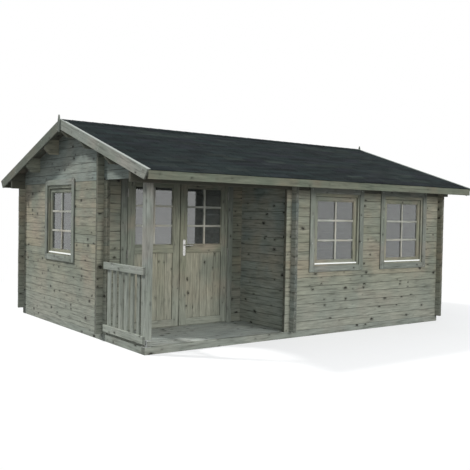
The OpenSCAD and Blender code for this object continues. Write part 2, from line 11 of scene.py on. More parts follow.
import bpy
import numpy as np
from mathutils import Matrix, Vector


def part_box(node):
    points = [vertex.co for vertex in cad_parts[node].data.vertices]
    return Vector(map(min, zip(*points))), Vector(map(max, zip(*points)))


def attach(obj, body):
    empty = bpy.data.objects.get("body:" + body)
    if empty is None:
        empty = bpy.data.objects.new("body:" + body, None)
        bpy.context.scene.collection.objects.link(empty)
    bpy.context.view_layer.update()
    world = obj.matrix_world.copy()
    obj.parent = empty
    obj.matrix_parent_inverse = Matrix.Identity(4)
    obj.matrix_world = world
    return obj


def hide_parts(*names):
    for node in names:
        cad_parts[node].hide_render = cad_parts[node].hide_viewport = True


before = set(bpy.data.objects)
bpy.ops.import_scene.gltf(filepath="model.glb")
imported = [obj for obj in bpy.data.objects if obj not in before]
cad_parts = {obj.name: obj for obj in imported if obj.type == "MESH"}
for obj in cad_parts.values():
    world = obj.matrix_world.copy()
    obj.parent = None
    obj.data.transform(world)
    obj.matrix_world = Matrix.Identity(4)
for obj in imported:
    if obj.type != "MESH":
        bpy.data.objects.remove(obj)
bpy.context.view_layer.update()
print("nodes in the frame:", len(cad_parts))

# %% [markdown]
# ## Reading places from the frame
# A node may hold several loose solids, such as three window frames. Their boxes say
# where each one stands, so no place has to be typed in again. Corners that share a
# position are given one number, and each triangle then pulls its corners to the lowest
# number among them until nothing changes: what ends with one number is one solid.

# %% Boxes of the loose solids in a node
def solid_boxes(node):
    """Boxes (low, high) of a node's loose solids, ordered by the low corner's x, y and z."""
    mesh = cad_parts[node].data
    points = np.empty(len(mesh.vertices) * 3)
    mesh.vertices.foreach_get("co", points)
    points = points.reshape(-1, 3)
    mesh.calc_loop_triangles()
    triangles = np.empty(len(mesh.loop_triangles) * 3, int)
    mesh.loop_triangles.foreach_get("vertices", triangles)
    _, same = np.unique(points.round(5), axis=0, return_inverse=True)
    corners = same.reshape(-1)[triangles].reshape(-1, 3)
    label = np.arange(corners.max() + 1)
    while True:
        lowest = label[corners].min(axis=1)
        new = label.copy()
        np.minimum.at(new, corners.ravel(), np.repeat(lowest, 3))
        new = new[new]
        if np.array_equal(new, label):
            break
        label = new
    owner = label[same.reshape(-1)]
    groups = [points[owner == k] for k in np.unique(owner)]
    boxes = [(group.min(axis=0), group.max(axis=0)) for group in groups]
    return sorted(boxes, key=lambda box: tuple(box[0].round(3)))


def node_box(node):
    """Box of a whole node as two numpy points."""
    low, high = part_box(node)
    return np.array(low), np.array(high)


base_z = node_box("foundation_long_beams")[1][2]
plate_z = node_box("front_wall")[1][2]
COURSES = 16
course_h = (plate_z - base_z) / COURSES
log_t = np.ptp([corner[1] for corner in node_box("front_wall")])
print(f"{COURSES} courses of {course_h * 1000:.0f} mm")

# %% [markdown]
# The underside of the roof cuts the top logs, so its plane is needed early. Felt and
# boards have known thicknesses, measured square to the slope.

# %% The roof planes
PITCH = math.radians(17.7)
FELT_T = 0.006
DECK_T = 0.019
ridge_z = node_box("roof_boards")[1][2] + FELT_T / math.cos(PITCH)
apex_z = ridge_z - (FELT_T + DECK_T) / math.cos(PITCH)


def under_roof(y):
    """Height of the roof's underside: the apex less the distance from the ridge times the slope."""
    return apex_z - np.abs(y) * math.tan(PITCH) - 0.0005


print(f"ridge at {ridge_z:.3f} m")

# %% [markdown]
# ## One way to make all the timber
# Everything wooden here is a length of sawn or planed stock, so one surface makes it
# all: a section outline carried along a straight line. The first and last rings are a
# little smaller, which gives each end its small bevel. Four values go with each point:
# its place in the piece of wood, a tint that is the same all over one board, how deep it
# sits in a joint, which on the logs under the roof also carries painted shade, and
# whether it lies on the cut end. The materials read them, so that rings, fibres and
# knots run along every board, whichever way it lies, end grain is darker, and no two
# boards look alike.

# %% Carry an outline along a line
rng = np.random.default_rng(41)
FIBRE_SHIFT = 40.0
PITH_SHIFT = 0.05
END_BEVEL = 0.0015


def tube_faces(rings, count):
    """Quads between neighbouring rings of count points each, and a flat face on both ends."""
    k, i = np.meshgrid(np.arange(rings - 1), np.arange(count), indexing="ij")
    j = (i + 1) % count
    quads = np.stack([k * count + i, k * count + j, (k + 1) * count + j, (k + 1) * count + i], -1)
    last = (rings - 1) * count
    ends = [list(range(count))[::-1], list(range(last, last + count))]
    return quads.reshape(-1, 4).tolist() + ends


def carry(outline, start, end, rings=2, wander=0.0, joint=0.0, fibre=0, tint=None,
          bevel=END_BEVEL):
    """Points (u, a, b): ring k holds the outline (a, b) at u = start + (end - start) * s(k), with
    s from 0 to 1. Start and end may differ from point to point, which cuts an end at a slant.
    Wander moves each ring sideways along a slow sine, as in wood that is never quite straight."""
    outline = np.asarray(outline, float)
    count = len(outline)
    start = np.broadcast_to(start, count) + 0.0
    end = np.broadcast_to(end, count) + 0.0
    lean = np.sign(end - start) * bevel
    s = np.linspace(0, 1, rings)[:, None]
    u = (start + lean) + (end - start - 2 * lean) * s
    u = np.vstack([start, u, end])
    middle = (outline.max(axis=0) + outline.min(axis=0)) / 2
    small = 1 - 2 * bevel / np.maximum(np.ptp(outline, axis=0), 4 * bevel)
    grow = np.ones((rings + 2, 1, 2))
    grow[[0, -1]] = small
    section = middle + (outline - middle) * grow
    phase = rng.uniform(0, 2 * np.pi, 2)
    waves = rng.uniform(0.6, 1.4, 2)
    drift = wander * np.sin(phase + waves * u.mean(axis=1)[:, None] * 2)
    section = section + drift[:, None, :]
    points = np.concatenate([u[..., None], section], axis=-1).reshape(-1, 3)
    reach = np.array([FIBRE_SHIFT, PITH_SHIFT, PITH_SHIFT])
    shift = rng.uniform(-reach, reach)
    order = [fibre] + [axis for axis in range(3) if axis != fibre]
    centre = points.mean(axis=0)
    return {
        "points": points,
        "faces": tube_faces(rings + 2, count),
        "grain": (points - centre)[:, order] + shift,
        "tint": np.full(len(points), rng.random() if tint is None else tint),
        # The joint value also carries painted shade on the logs under the roof and on the wall
        # plates.
        "joint": np.tile(np.broadcast_to(joint, count), rings + 2),
        "cut": np.repeat(np.r_[1.0, np.zeros(rings), 1.0], count),
    }


# %% [markdown]
# A board is placed by turning its own axes to the building's axes. The three columns
# are always a right-handed set, so faces that point outwards stay that way.

# %% Put stock in place
ALONG = {
    "x": np.array([[1, 0, 0], [0, 1, 0], [0, 0, 1]], float).T,
    "y": np.array([[0, 1, 0], [-1, 0, 0], [0, 0, 1]], float).T,
    "z": np.array([[0, 0, 1], [1, 0, 0], [0, 1, 0]], float).T,
}


def placed(stock, axes, origin):
    """The same stock with each point at origin + axes @ point."""
    return {**stock, "points": stock["points"] @ np.asarray(axes).T + np.asarray(origin)}


def box_outline(width, height, cut):
    """A rectangle around the origin with its corners cut at 45 degrees, anticlockwise."""
    a = width / 2
    b = height / 2
    return [(a - cut, -b), (a, cut - b), (a, b - cut), (a - cut, b),
            (cut - a, b), (-a, b - cut), (-a, cut - b), (cut - a, -b)]


def plank(low, high, along, cut, **more):
    """A board that fills the box from low to high, with its fibres along x, y or z."""
    low, high = np.minimum(low, high) + 0.0, np.maximum(low, high)
    size = high - low
    axes = ALONG[along]
    length, width, height = np.abs(axes.T @ size)
    outline = box_outline(width, height, min(cut, width / 4, height / 4))
    stock = carry(outline, -length / 2, length / 2, **more)
    return placed(stock, axes, low + size / 2)


def make_mesh(name, pieces):
    """One mesh from many pieces of stock, with their four values as point attributes."""
    offsets = np.cumsum([0] + [len(piece["points"]) for piece in pieces])
    faces = [[index + offset for index in face]
             for piece, offset in zip(pieces, offsets) for face in piece["faces"]]
    mesh = bpy.data.meshes.new(name)
    mesh.from_pydata(np.concatenate([piece["points"] for piece in pieces]).tolist(), [], faces)
    for key, kind, field in (("grain", "FLOAT_VECTOR", "vector"), ("tint", "FLOAT", "value"),
                             ("joint", "FLOAT", "value"), ("cut", "FLOAT", "value")):
        values = np.concatenate([piece[key] for piece in pieces]).astype(np.float32)
        mesh.attributes.new(key, kind, "POINT").data.foreach_set(field, values.ravel())
    return mesh


def install(name, pieces, material, node=None, body="cabin", *, slot):
    """Adds a piece to the scene: it rides on a body, and may stand for a node of the frame."""
    obj = bpy.data.objects.new(name, make_mesh(name, pieces))
    bpy.context.scene.collection.objects.link(obj)
    obj.data.materials.append(material)
    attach(obj, body)
    if node:
        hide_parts(node)
    print(f"{name}: {len(obj.data.polygons)} faces")
    return obj


# %% [markdown]
# ## Colour and nodes
# Colours are written as they look on a screen, in hex, and turned to linear light once.
# One small function adds any node with its settings and its links. The others name the
# sums that come up often, and each returns the socket that holds its result.

# %% Colour and node helpers
def linear(code):
    """sRGB hex to linear: c / 12.92 below 0.04045, and ((c + 0.055) / 1.055) ** 2.4 above."""
    channels = np.array([int(code[k:k + 2], 16) for k in (0, 2, 4)]) / 255
    values = np.where(channels <= 0.04045, channels / 12.92, ((channels + 0.055) / 1.055) ** 2.4)
    return (*values.tolist(), 1.0)


def put(tree, value, socket):
    """Gives a socket a value, or a link from another socket."""
    if isinstance(value, bpy.types.NodeSocket):
        tree.links.new(value, socket)
    else:
        socket.default_value = value


def add(tree, kind, inputs=None, stops=(), **settings):
    """Adds a node. Inputs go by name or number; stops are a ramp's hex colours, evenly spaced."""
    node = tree.nodes.new("ShaderNode" + kind)
    for name, value in settings.items():
        setattr(node, name, value)
    for key, value in (inputs or {}).items():
        put(tree, value, node.inputs[key])
    for k, code in enumerate(stops):
        place = k / (len(stops) - 1)
        element = node.color_ramp.elements[k] if k < 2 else node.color_ramp.elements.new(place)
        element.position = place
        element.color = linear(code)
    return node


print(f"screen grey 808080 is {linear('808080')[0]:.3f} in linear light")

# %% Sums, colours and textures in a node tree
def maths(tree, operation, *values):
    """One sum on numbers."""
    return add(tree, "Math", dict(enumerate(values)), operation=operation).outputs[0]


def vectors(tree, operation, *values):
    """One sum on three numbers at a time."""
    return add(tree, "VectorMath", dict(enumerate(values)), operation=operation).outputs[0]


def remap(tree, value, start, end, low, high, smooth=False):
    """Low where value is at start, high where it is at end, and even or smooth in between."""
    return add(tree, "MapRange", {0: value, 1: start, 2: end, 3: low, 4: high},
               interpolation_type="SMOOTHSTEP" if smooth else "LINEAR").outputs[0]


def blend(tree, share, below, code):
    """A colour with a share of another one, in hex, laid over it."""
    return add(tree, "Mix", {0: share, 6: below, 7: linear(code)}, data_type="RGBA").outputs[2]


def brightened(tree, colour, gain):
    """A colour times a number."""
    return add(tree, "VectorMath", {0: colour, "Scale": gain}, operation="SCALE").outputs[0]


def noise(tree, place, scale=1.0, detail=2.0, **more):
    """Outputs of a noise texture; its scale is one over the size of a patch."""
    inputs = {"Vector": place, "Scale": scale, "Detail": detail, **more}
    return add(tree, "TexNoise", inputs).outputs


def relief(tree, height, strength, distance):
    """A normal that is tilted by the slope of a height."""
    inputs = {"Height": height, "Strength": strength, "Distance": distance}
    return add(tree, "Bump", inputs).outputs[0]


def point_value(tree, name, output="Fac"):
    """One of the values that go with each point of the stock."""
    return add(tree, "Attribute", attribute_name=name).outputs[output]


def own_place(tree):
    """A point's place in metres from the origin."""
    return add(tree, "TexCoord").outputs["Object"]


# %% Materials
def new_material(name):
    """A node material and its tree."""
    material = bpy.data.materials.new(name)
    material.use_nodes = True
    return material, material.node_tree


def dress(material, **values):
    """Sets or links inputs of a material's shader, with underscores for spaces in their names."""
    for key, value in values.items():
        shader = material.node_tree.nodes["Principled BSDF"]
        put(material.node_tree, value, shader.inputs[key.replace("_", " ")])
    return material


# %% [markdown]
# ## Weathered pine
# The logs are pine, planed and pressure impregnated. The salts leave it grey-green, and
# the sun turns it to a warm beige grey. Near the ground it is cooler with damp, and paler
# with painted bounce light from the ground. The material is a solid texture in each
# board's own space: long streaks and rings follow the fibres. Rings are 3 mm apart in
# real pine; here they are 7 mm, so that they show.

# %% Sizes and fades of the grain
RING_GAP = 0.007
WAVE_PER_METRE = 20 / (2 * math.pi)
BEND_SCALE = (1.3, 7, 7)
BEND = 0.03
STREAK_L, STREAK_W = 0.26, 0.022
FINE_L, FINE_W = 0.09, 0.003
STAIN_SIZE = 0.5

# Each row carries a value from its first pair of numbers to its second pair.
MOSSY = (0.45, 0.65, 0.0, 0.75)
ROSY = (0.5, 0.68, 0.0, 0.8)
LOW_DAMP_AND_BOUNCE = (0.95, 0.05, 0.0, 0.7)
DARK = (0.52, 0.74, 0.0, 0.72)
PALE = (0.47, 0.25, 1.0, 1.36)
LATE = (0.3, 1.0, 1.04, 0.86)
THIN = (0.3, 0.7, 0.88, 1.1)
SAWN = (0.0, 1.0, 1.0, 0.6)


def stretched(tree, place, length, width):
    """A place in units that are longer along the fibres than across them."""
    return vectors(tree, "MULTIPLY", place, (1 / length, 1 / width, 1 / width))


print(f"streaks are {STREAK_L / STREAK_W:.0f} times as long as they are wide")

# %% [markdown]
# Knots go nearly black, with a soft halo. They are cells on the unrolled skin of a board.
# Half of the cells hold one, of its own size and strength, with a ragged edge.

# %% Knots
KNOT_CELL = 0.125
KNOT_LEAST = 0.015
KNOT_STRETCH = 0.65
KNOT_FREE = 0.5
KNOT_DEPTH = (KNOT_FREE, 1.0, 0.45, 1.0)
RAG_SCALE = 45.0
RAG = 0.24
CORE = (0.12, 0.05, 0.0, 1.0)
HALO = (0.26, 0.09, 0.0, 0.5)


def knot_masks(tree, grain, largest):
    """Core and halo of the knots: r = distance to the cell's middle + noise - radius, faded out."""
    axes = add(tree, "SeparateXYZ", {0: grain}).outputs
    girth = maths(tree, "ADD", axes["Y"], axes["Z"])
    run = maths(tree, "MULTIPLY", axes["X"], KNOT_STRETCH)
    skin = add(tree, "CombineXYZ", {0: run, 1: girth}).outputs[0]
    cell = add(tree, "TexVoronoi", {"Vector": skin, "Scale": 1 / KNOT_CELL},
               voronoi_dimensions="2D").outputs
    pick = add(tree, "SeparateColor", {0: cell["Color"]}).outputs[0]
    radius = remap(tree, pick, KNOT_FREE, 1.0, KNOT_LEAST, largest / KNOT_CELL)
    edge = noise(tree, grain, RAG_SCALE, 1.0)["Fac"]
    ragged = maths(tree, "MULTIPLY_ADD", edge, RAG, cell["Distance"])
    r = maths(tree, "SUBTRACT", ragged, radius)
    strength = maths(tree, "MULTIPLY", remap(tree, pick, *KNOT_DEPTH),
                     maths(tree, "GREATER_THAN", pick, KNOT_FREE))
    return [maths(tree, "MULTIPLY", remap(tree, r, *fade, smooth=True), strength)
            for fade in (CORE, HALO)]


# %% [markdown]
# The colour is built up in the order in which nature does it: the board's own tone, the
# stains of moss and sun, the damp near the ground with painted bounce light, then
# streaks, rings and fibres as a gain, and last the knots, the dirt in the joints and the
# painted shade under the eaves. The same streaks and knots give the relief.

# %% The timber material
DEEP = "3a3b34"
KNOT = "26241f"
# The joint colour also serves as painted shade on logs under the eaves and on the wall plates.
JOINT_AND_SHADE_TONE = "31322b"


def timber(name, tones, damp_and_bounce_tone="8b8f85", knots=0.021, green="6f7469", warm="8b8273", rough=0.78):
    """Pine whose board tones come from a list of hex colours; knots is their largest radius."""
    material, tree = new_material(name)
    grain = point_value(tree, "grain", "Vector")
    tint, joint_and_shade, sawn = (point_value(tree, key) for key in ("tint", "joint", "cut"))
    place = own_place(tree)
    bend = noise(tree, vectors(tree, "MULTIPLY", grain, BEND_SCALE), detail=1.0)["Color"]
    bend = vectors(tree, "SUBTRACT", bend, (0.5, 0.5, 0.5))
    bent = vectors(tree, "MULTIPLY_ADD", bend, (0, BEND, BEND), grain)
    streak = stretched(tree, bent, STREAK_L, STREAK_W)
    streak = noise(tree, streak, detail=4.0, Roughness=0.6)["Fac"]
    fine = noise(tree, stretched(tree, bent, FINE_L, FINE_W))["Fac"]
    rings = add(tree, "TexWave", {"Vector": bent, "Scale": 1 / (RING_GAP * WAVE_PER_METRE),
                                  "Distortion": 1.2, "Detail": 2.0},
                wave_type="RINGS", rings_direction="X", wave_profile="SAW").outputs["Fac"]
    core, halo = knot_masks(tree, grain, knots)

    colour = add(tree, "ValToRGB", {"Fac": tint}, stops=tones).outputs["Color"]
    patches = noise(tree, place, 1 / STAIN_SIZE, 3.0)["Color"]
    patches = add(tree, "SeparateColor", {0: patches}).outputs
    height = add(tree, "SeparateXYZ", {0: place}).outputs["Z"]
    # Near the ground the damp tone is cooler, and its paleness is painted bounce light from the
    # ground.
    for share, code in ((remap(tree, patches[0], *MOSSY), green),
                        (remap(tree, patches[1], *ROSY), warm),
                        (remap(tree, height, *LOW_DAMP_AND_BOUNCE, smooth=True), damp_and_bounce_tone),
                        (remap(tree, streak, *DARK), DEEP)):
        colour = blend(tree, share, colour, code)
    gain = remap(tree, streak, *PALE)
    for value, fade in ((rings, LATE), (fine, THIN), (sawn, SAWN)):
        gain = maths(tree, "MULTIPLY", gain, remap(tree, value, *fade))
    colour = brightened(tree, colour, gain)
    # The joint colour also lays painted shade on the logs under the roof and on the wall plates.
    for share, code in ((halo, DEEP), (core, KNOT), (joint_and_shade, JOINT_AND_SHADE_TONE)):
        colour = blend(tree, share, colour, code)

    height = maths(tree, "MULTIPLY_ADD", fine, 0.5, streak)
    height = maths(tree, "MULTIPLY_ADD", core, 0.5, height)
    return dress(material, Base_Color=colour, Specular_IOR_Level=0.3,
                 Roughness=remap(tree, streak, 0.2, 0.8, rough + 0.08, rough - 0.08),
                 Normal=relief(tree, height, 0.6, 0.0015))


# %% [markdown]
# The same pine takes other tones on other pieces. On the gables it is darker and cooler,
# as painted shade under the roof; in the porch and on the floor it is paler and cooler,
# as painted shade and painted fill light under the porch roof. It is yellower on the door
# panels, palest on the glazing bars, and darkest on the eave boards and on the
# bargeboards at the back.

# %% Every wood in the building
wall_pine = timber("impregnated pine logs",
                   ["777869", "848374", "828374", "8b8674", "7e8174", "86826f"])
# Painted light and shade: paler and cooler tones than the wall logs, for the porch in the roof's
# shade.
porch_pine_painted_light_and_shade = timber("impregnated pine logs in the porch",
                    ["82867c", "8d9186", "8a9088", "908f84", "878c83"],
                    green="76827f", warm="938f80")
# Painted shade: darker and cooler tones than the wall logs, for the gables under the roof.
gable_pine_painted_shade = timber("impregnated pine gable logs with painted shade", ["6c7673", "757e7a", "7b8179", "6f7875"],
                    green="69736e", warm="7f8279")
trim_pine = timber("impregnated pine trim boards", ["6b6f67", "747870", "7c8079", "848880"],
                   knots=0.011, warm="827f77")
joinery_pine = timber("impregnated pine joinery", ["777867", "7f7f6e", "838578", "7d7f71"],
                      knots=0.009)
bar_pine = timber("pine glazing bars", ["9b9b91", "a3a297", "9a9b93"], knots=0.004,
                  green="969a93", warm="a29c8f")
panel_pine = timber("pine panel boards", ["8b8a79", "939080", "878675", "949080"],
                    warm="918977", damp_and_bounce_tone="888a7e")
edge_pine = timber("impregnated pine eave boards", ["5f6254", "666758", "616458"],
                   knots=0.011, green="5b6255", warm="6a6455")
dark_pine = timber("dark pine bargeboards", ["55584f", "5b5e55"],
                   knots=0.011, green="52584f", warm="5f5c50")
beam_pine = timber("sawn pine beams", ["777a70", "82857b", "898b80"], damp_and_bounce_tone="82877f", rough=0.85)
# Painted light: paler and cooler tones for the floor boards under the porch roof.
floor_pine_painted_light = timber("planed pine floor boards with painted light", ["979b95", "a1a49c", "929791", "a6a79b"],
                    damp_and_bounce_tone="9ea39d", green="868f8a")
deck_pine = timber("pine roof boards", ["4a4a41", "524f46", "46463e"])
print("woods ready")

# %% [markdown]
# ## The log walls
# Each course is a planed log, 44 mm thick, with a V where it meets the next. The walls
# that cross it start half a log higher, which is how the corners lock. An outline with
# the two V faces is carried along each log, and the points beside a V are marked as
# joints, because dirt and shade gather there. The logs that the roof cuts under the
# eaves, and the wall plates, get the same dark mark as painted shade.

# %% The section of a log
V_CUT = 0.004
STAIN_BAND = 0.004
SLIT = 0.0002
JOINT_DARK = 0.6
BAND_DARK = 0.12
# Painted shade: the mark that the parts of a log cut by the roof get, under the eaves.
EAVE_PAINTED_SHADE = 0.95


def log_outline(low, high, half, roof_at=None):
    """Section of a log from height low to high: flat faces, V cuts, and a band beside each V."""
    inner = half - V_CUT
    band = V_CUT + STAIN_BAND
    side = [(inner, low + SLIT), (half, low + V_CUT), (half, low + band),
            (half, high - band), (half, high - V_CUT), (inner, high - SLIT)]
    outline = np.array(side + [(-a, b) for a, b in side[::-1]])
    marks = np.array([JOINT_DARK, BAND_DARK, 0.0, 0.0, BAND_DARK, JOINT_DARK])
    marks = np.concatenate([marks, marks[::-1]])
    # Points that the roof cuts away are painted dark, as painted shade under the eaves.
    if roof_at is not None:
        roof = roof_at(outline[:, 0])
        marks[outline[:, 1] > roof] = EAVE_PAINTED_SHADE
        outline[:, 1] = np.minimum(outline[:, 1], roof)
    return outline, marks


print("points around a log:", len(log_outline(0, course_h, log_t / 2)[0]))

# %% [markdown]
# A window or a door takes its share out of every course that it meets. A log may lose
# its upper or its lower part, its middle, or nothing at all, so each course is kept as
# a list of rectangles, and each hole splits those it touches.

# %% Courses and holes
CLOSE = 0.01


def course_edges(low, high, half_start):
    """Heights of the joints between low and high; half_start walls begin with half a log."""
    first = base_z + (course_h / 2 if half_start else 0)
    joints = first + course_h * np.arange(-1, 2 * COURSES)
    inside = joints[(joints > low + 0.02) & (joints < high - 0.012)]
    return np.concatenate([[low], inside, [high]])


def split_course(start, end, low, high, holes):
    """What holes leave of one course, as rectangles (u0, u1, z0, z1) like the holes."""
    rows = [(start, end, low, high)]
    for u0, u1, z0, z1 in holes:
        cut = []
        for a, b, c, d in rows:
            if z0 > d - CLOSE or z1 < c + CLOSE or u0 > b or u1 < a:
                cut.append((a, b, c, d))
                continue
            left = [(u0 > a, (a, u0, c, d)), (z1 < d - CLOSE, (u0, u1, z1, d)),
                    (z0 > c + CLOSE, (u0, u1, c, z0)), (u1 < b, (u1, b, c, d))]
            cut += [row for kept, row in left if kept]
        rows = cut
    return rows


window_boxes = solid_boxes("window_frames")
WIDE = 0.3
front_windows = [box for box in window_boxes if np.ptp([c[0] for c in box]) > WIDE]
gable_windows = [box for box in window_boxes if np.ptp([c[1] for c in box]) > WIDE]
front_holes = [(a[0], b[0], a[2], b[2]) for a, b in front_windows]
gable_holes = [(a[1], b[1], a[2], b[2]) for a, b in gable_windows]
frame_low, frame_high = node_box("door_frame")
door_hole = [(frame_low[0], frame_high[0], 0.0, frame_high[2])]
print("windows:", len(front_windows), "in front,", len(gable_windows), "in the gable wall")

# %% [markdown]
# Logs never end quite in line, so each course is up to 3 mm shorter at either end. A
# wall along the ridge is cut by the roof over its whole length, which changes its
# section; a gable is cut at its ends, which slants them.

# %% One wall
END_SPREAD = 0.003
LOG_WANDER = 0.0007
LOG_RING_STEP = 0.45
# Painted shade: the least mark on the wall plates, which lie in the shade of the eaves.
PLATE_PAINTED_SHADE = 0.75


def log_wall(node, along, holes):
    """All logs of a wall along x or y, cut by its holes and by the roof."""
    low, high = node_box(node)
    run = 0 if along == "x" else 1
    middle = (low + high) / 2
    origin = middle * [run, 1 - run, 0]
    pieces = []
    edges = course_edges(low[2], high[2], along == "y")
    for z0, z1 in zip(edges[:-1], edges[1:]):
        spread = rng.uniform(-END_SPREAD, 0, 2) * [-1, 1]
        start, end = low[run] + spread[0], high[run] + spread[1]
        for u0, u1, c, d in split_course(start, end, z0, z1, holes):
            if along == "x":
                outline, marks = log_outline(c, d, log_t / 2, lambda a: under_roof(middle[1] + a))
                # The wall plates are painted darker all over, as painted shade below the eaves.
                marks = np.maximum(marks, PLATE_PAINTED_SHADE) if node.endswith("_plate") else marks
                start, end = u0, u1
            else:
                outline, marks = log_outline(c, d, log_t / 2)
                reach = (apex_z - outline[:, 1]) / math.tan(PITCH) - 0.001
                start = np.maximum(u0, -reach)
                end = np.minimum(u1, reach)
                if np.any(end - start < CLOSE):
                    continue
            rings = 2 + int((u1 - u0) / LOG_RING_STEP)
            stock = carry(outline, start, end, rings, LOG_WANDER, marks)
            pieces.append(placed(stock, ALONG[along], origin))
    return pieces


# %% Build the walls
HOLES = {"front_wall": front_holes, "left_wall": gable_holes, "door_wall_over": door_hole}
WOODS = {"left_gable": gable_pine_painted_shade, "right_gable": gable_pine_painted_shade, "cross_wall": porch_pine_painted_light_and_shade}
WALLS = (("x", ("front_wall", "back_wall", "front_plate", "back_plate",
                "door_wall_left", "door_wall_right", "door_wall_over")),
         ("y", ("left_wall", "right_wall", "cross_wall", "left_gable", "right_gable")))
for along, nodes in WALLS:
    for node in nodes:
        logs = log_wall(node, along, HOLES.get(node, ()))
        install(node + "_logs", logs, WOODS.get(node, wall_pine), node, slot="wall_logs")

# %% [markdown]
# ## Foundation and floors
# Flat beams lie on the ground and frame the floor. Every solid in their nodes is one
# length of timber, so each box from the frame becomes one board. The floors are boards
# laid side by side, so their box is shared out into equal strips.

# %% Beams and boards underfoot
BOARD_GAP = 0.0015
FLOOR_BOARD_W = 0.11


def beams_from(node, along):
    """One plank for each loose solid of a node."""
    return [plank(low, high, along, 0.004) for low, high in solid_boxes(node)]


def strips(low, high, width, run, side):
    """Boards along one axis, side by side along another, in equal widths close to the given one."""
    count = max(1, int((high[side] - low[side]) / width))
    edges = np.linspace(low[side], high[side], count + 1)
    boards = []
    for a, b in zip(edges[:-1], edges[1:]):
        one_low, one_high = low.copy(), high.copy()
        one_low[side] = a + BOARD_GAP / 2
        one_high[side] = b - BOARD_GAP / 2
        boards.append(plank(one_low, one_high, "xyz"[run], 0.003))
    return boards


for name, node, along in (("long_beams", "foundation_long_beams", "x"),
                          ("cross_beams", "foundation_cross_beams", "y"),
                          ("bearers", "floor_bearers", "y")):
    install(name, beams_from(node, along), beam_pine, node, slot="impregnated_beams")
for name, node in (("porch_boards", "porch_floor"), ("cabin_boards", "cabin_floor")):
    boards = [board for box in solid_boxes(node) for board in strips(*box, FLOOR_BOARD_W, 0, 1)]
    install(name, boards, floor_pine_painted_light, node, slot="floor_boards")

# %% [markdown]
# ## The roof timber
# Purlins run the length of the roof and show under the gables, with a slanted cut at
# each end. An outline point at the height where the cut begins lets one beam carry it.

# %% Purlins with slanted ends
END_CUT = 0.072


def cut_beam(low, high):
    """A beam along x with its lower corners cut at 45 degrees; its top follows the roof."""
    half = (high[1] - low[1]) / 2
    y = low[1] + half
    heights = np.array([low[2], low[2] + END_CUT, high[2]])
    outline = np.array([(half, z) for z in heights] + [(-half, z) for z in heights[::-1]])
    inset = np.maximum(low[2] + END_CUT - outline[:, 1], 0)
    outline[:, 1] = np.minimum(outline[:, 1], under_roof(y + outline[:, 0]))
    stock = carry(outline, low[0] + inset, high[0] - inset, 8, 0.0005)
    return placed(stock, ALONG["x"], (0, y, 0))


install("purlin_beams", [cut_beam(*box) for box in solid_boxes("purlins")], wall_pine, "purlins",
        slot="wall_logs")

# %% [markdown]
# The roof boards run down the slope. From below, at the eaves and gables, each shows a
# small V at its edges. On a slope, a board's own axes are: down the slope, along the
# ridge, and square to the roof.

# %% Axes on the slopes
def slope_axes(side):
    """Columns: down the slope, along the ridge, square to it. Side is 1 behind, -1 in front."""
    down = np.array([0, side * math.cos(PITCH), -math.sin(PITCH)])
    up = np.array([0, side * math.sin(PITCH), math.cos(PITCH)])
    return np.stack([down, np.cross(up, down), up], axis=1)


ridge_point = np.array([0, 0, ridge_z])
roof_low, roof_high = node_box("roof_boards")
roof_run = roof_high[1] / math.cos(PITCH)
ROOF_BOARD_W = 0.095
roof_boards = []
for side in (-1, 1):
    count = round((roof_high[0] - roof_low[0]) / ROOF_BOARD_W)
    edges = np.linspace(roof_low[0], roof_high[0], count + 1)
    axes = slope_axes(side)
    for x0, x1 in zip(edges[:-1], edges[1:]):
        outline = box_outline(x1 - x0 - BOARD_GAP / 4, DECK_T, 0.004)
        stock = carry(outline, FELT_T * math.tan(PITCH), roof_run, 3)
        origin = ridge_point + [(x0 + x1) / 2, 0, 0] - axes[:, 2] * (FELT_T + DECK_T / 2)
        roof_boards.append(placed(stock, axes, origin))
install("roof_deck", roof_boards, deck_pine, "roof_boards", slot="roof_boards")

# %% [markdown]
# ## Shingles
# The covering is bitumen felt shingle, laid in courses from the eave up. A strip of three
# tabs is a metre long, and every course is moved by half a tab. A tab is thickest at its
# lower edge, because it lies on the one below. Its mineral grit comes in blends, which
# gives each tab its own blue, green or grey tone.

# %% Tabs in courses
EXPOSURE = 0.145
TAB_W = 0.333
TAB_GAP = 0.006
TAB_LIFT = 0.0035
TAB_T = 0.0035
TAB_OVER = 0.0012
TAB_LAP = 1.25
TAB_LEAST = 0.02
BED_T = 0.0022
felt_low, felt_high = node_box("roof_felt")
felt_run = felt_high[1] / math.cos(PITCH)
COURSE_COUNT = round(felt_run / EXPOSURE)
exposure = felt_run / COURSE_COUNT


def tab(axes, s_low, s_high, x0, x1):
    """One tab: a wedge from its thick lower edge at s_low up the slope to s_high."""
    half = (x1 - x0) / 2
    outline = np.array([(-half, 0), (half, 0), (half, TAB_T), (-half, TAB_T)])
    stock = carry(outline, s_low, s_high, 2, bevel=0.0008)
    along = (stock["points"][:, 0] - s_high) / (s_low - s_high)
    stock["points"][:, 2] += along * TAB_LIFT - FELT_T + TAB_OVER
    return placed(stock, axes, ridge_point + axes[:, 1] * (x0 + x1) / 2)


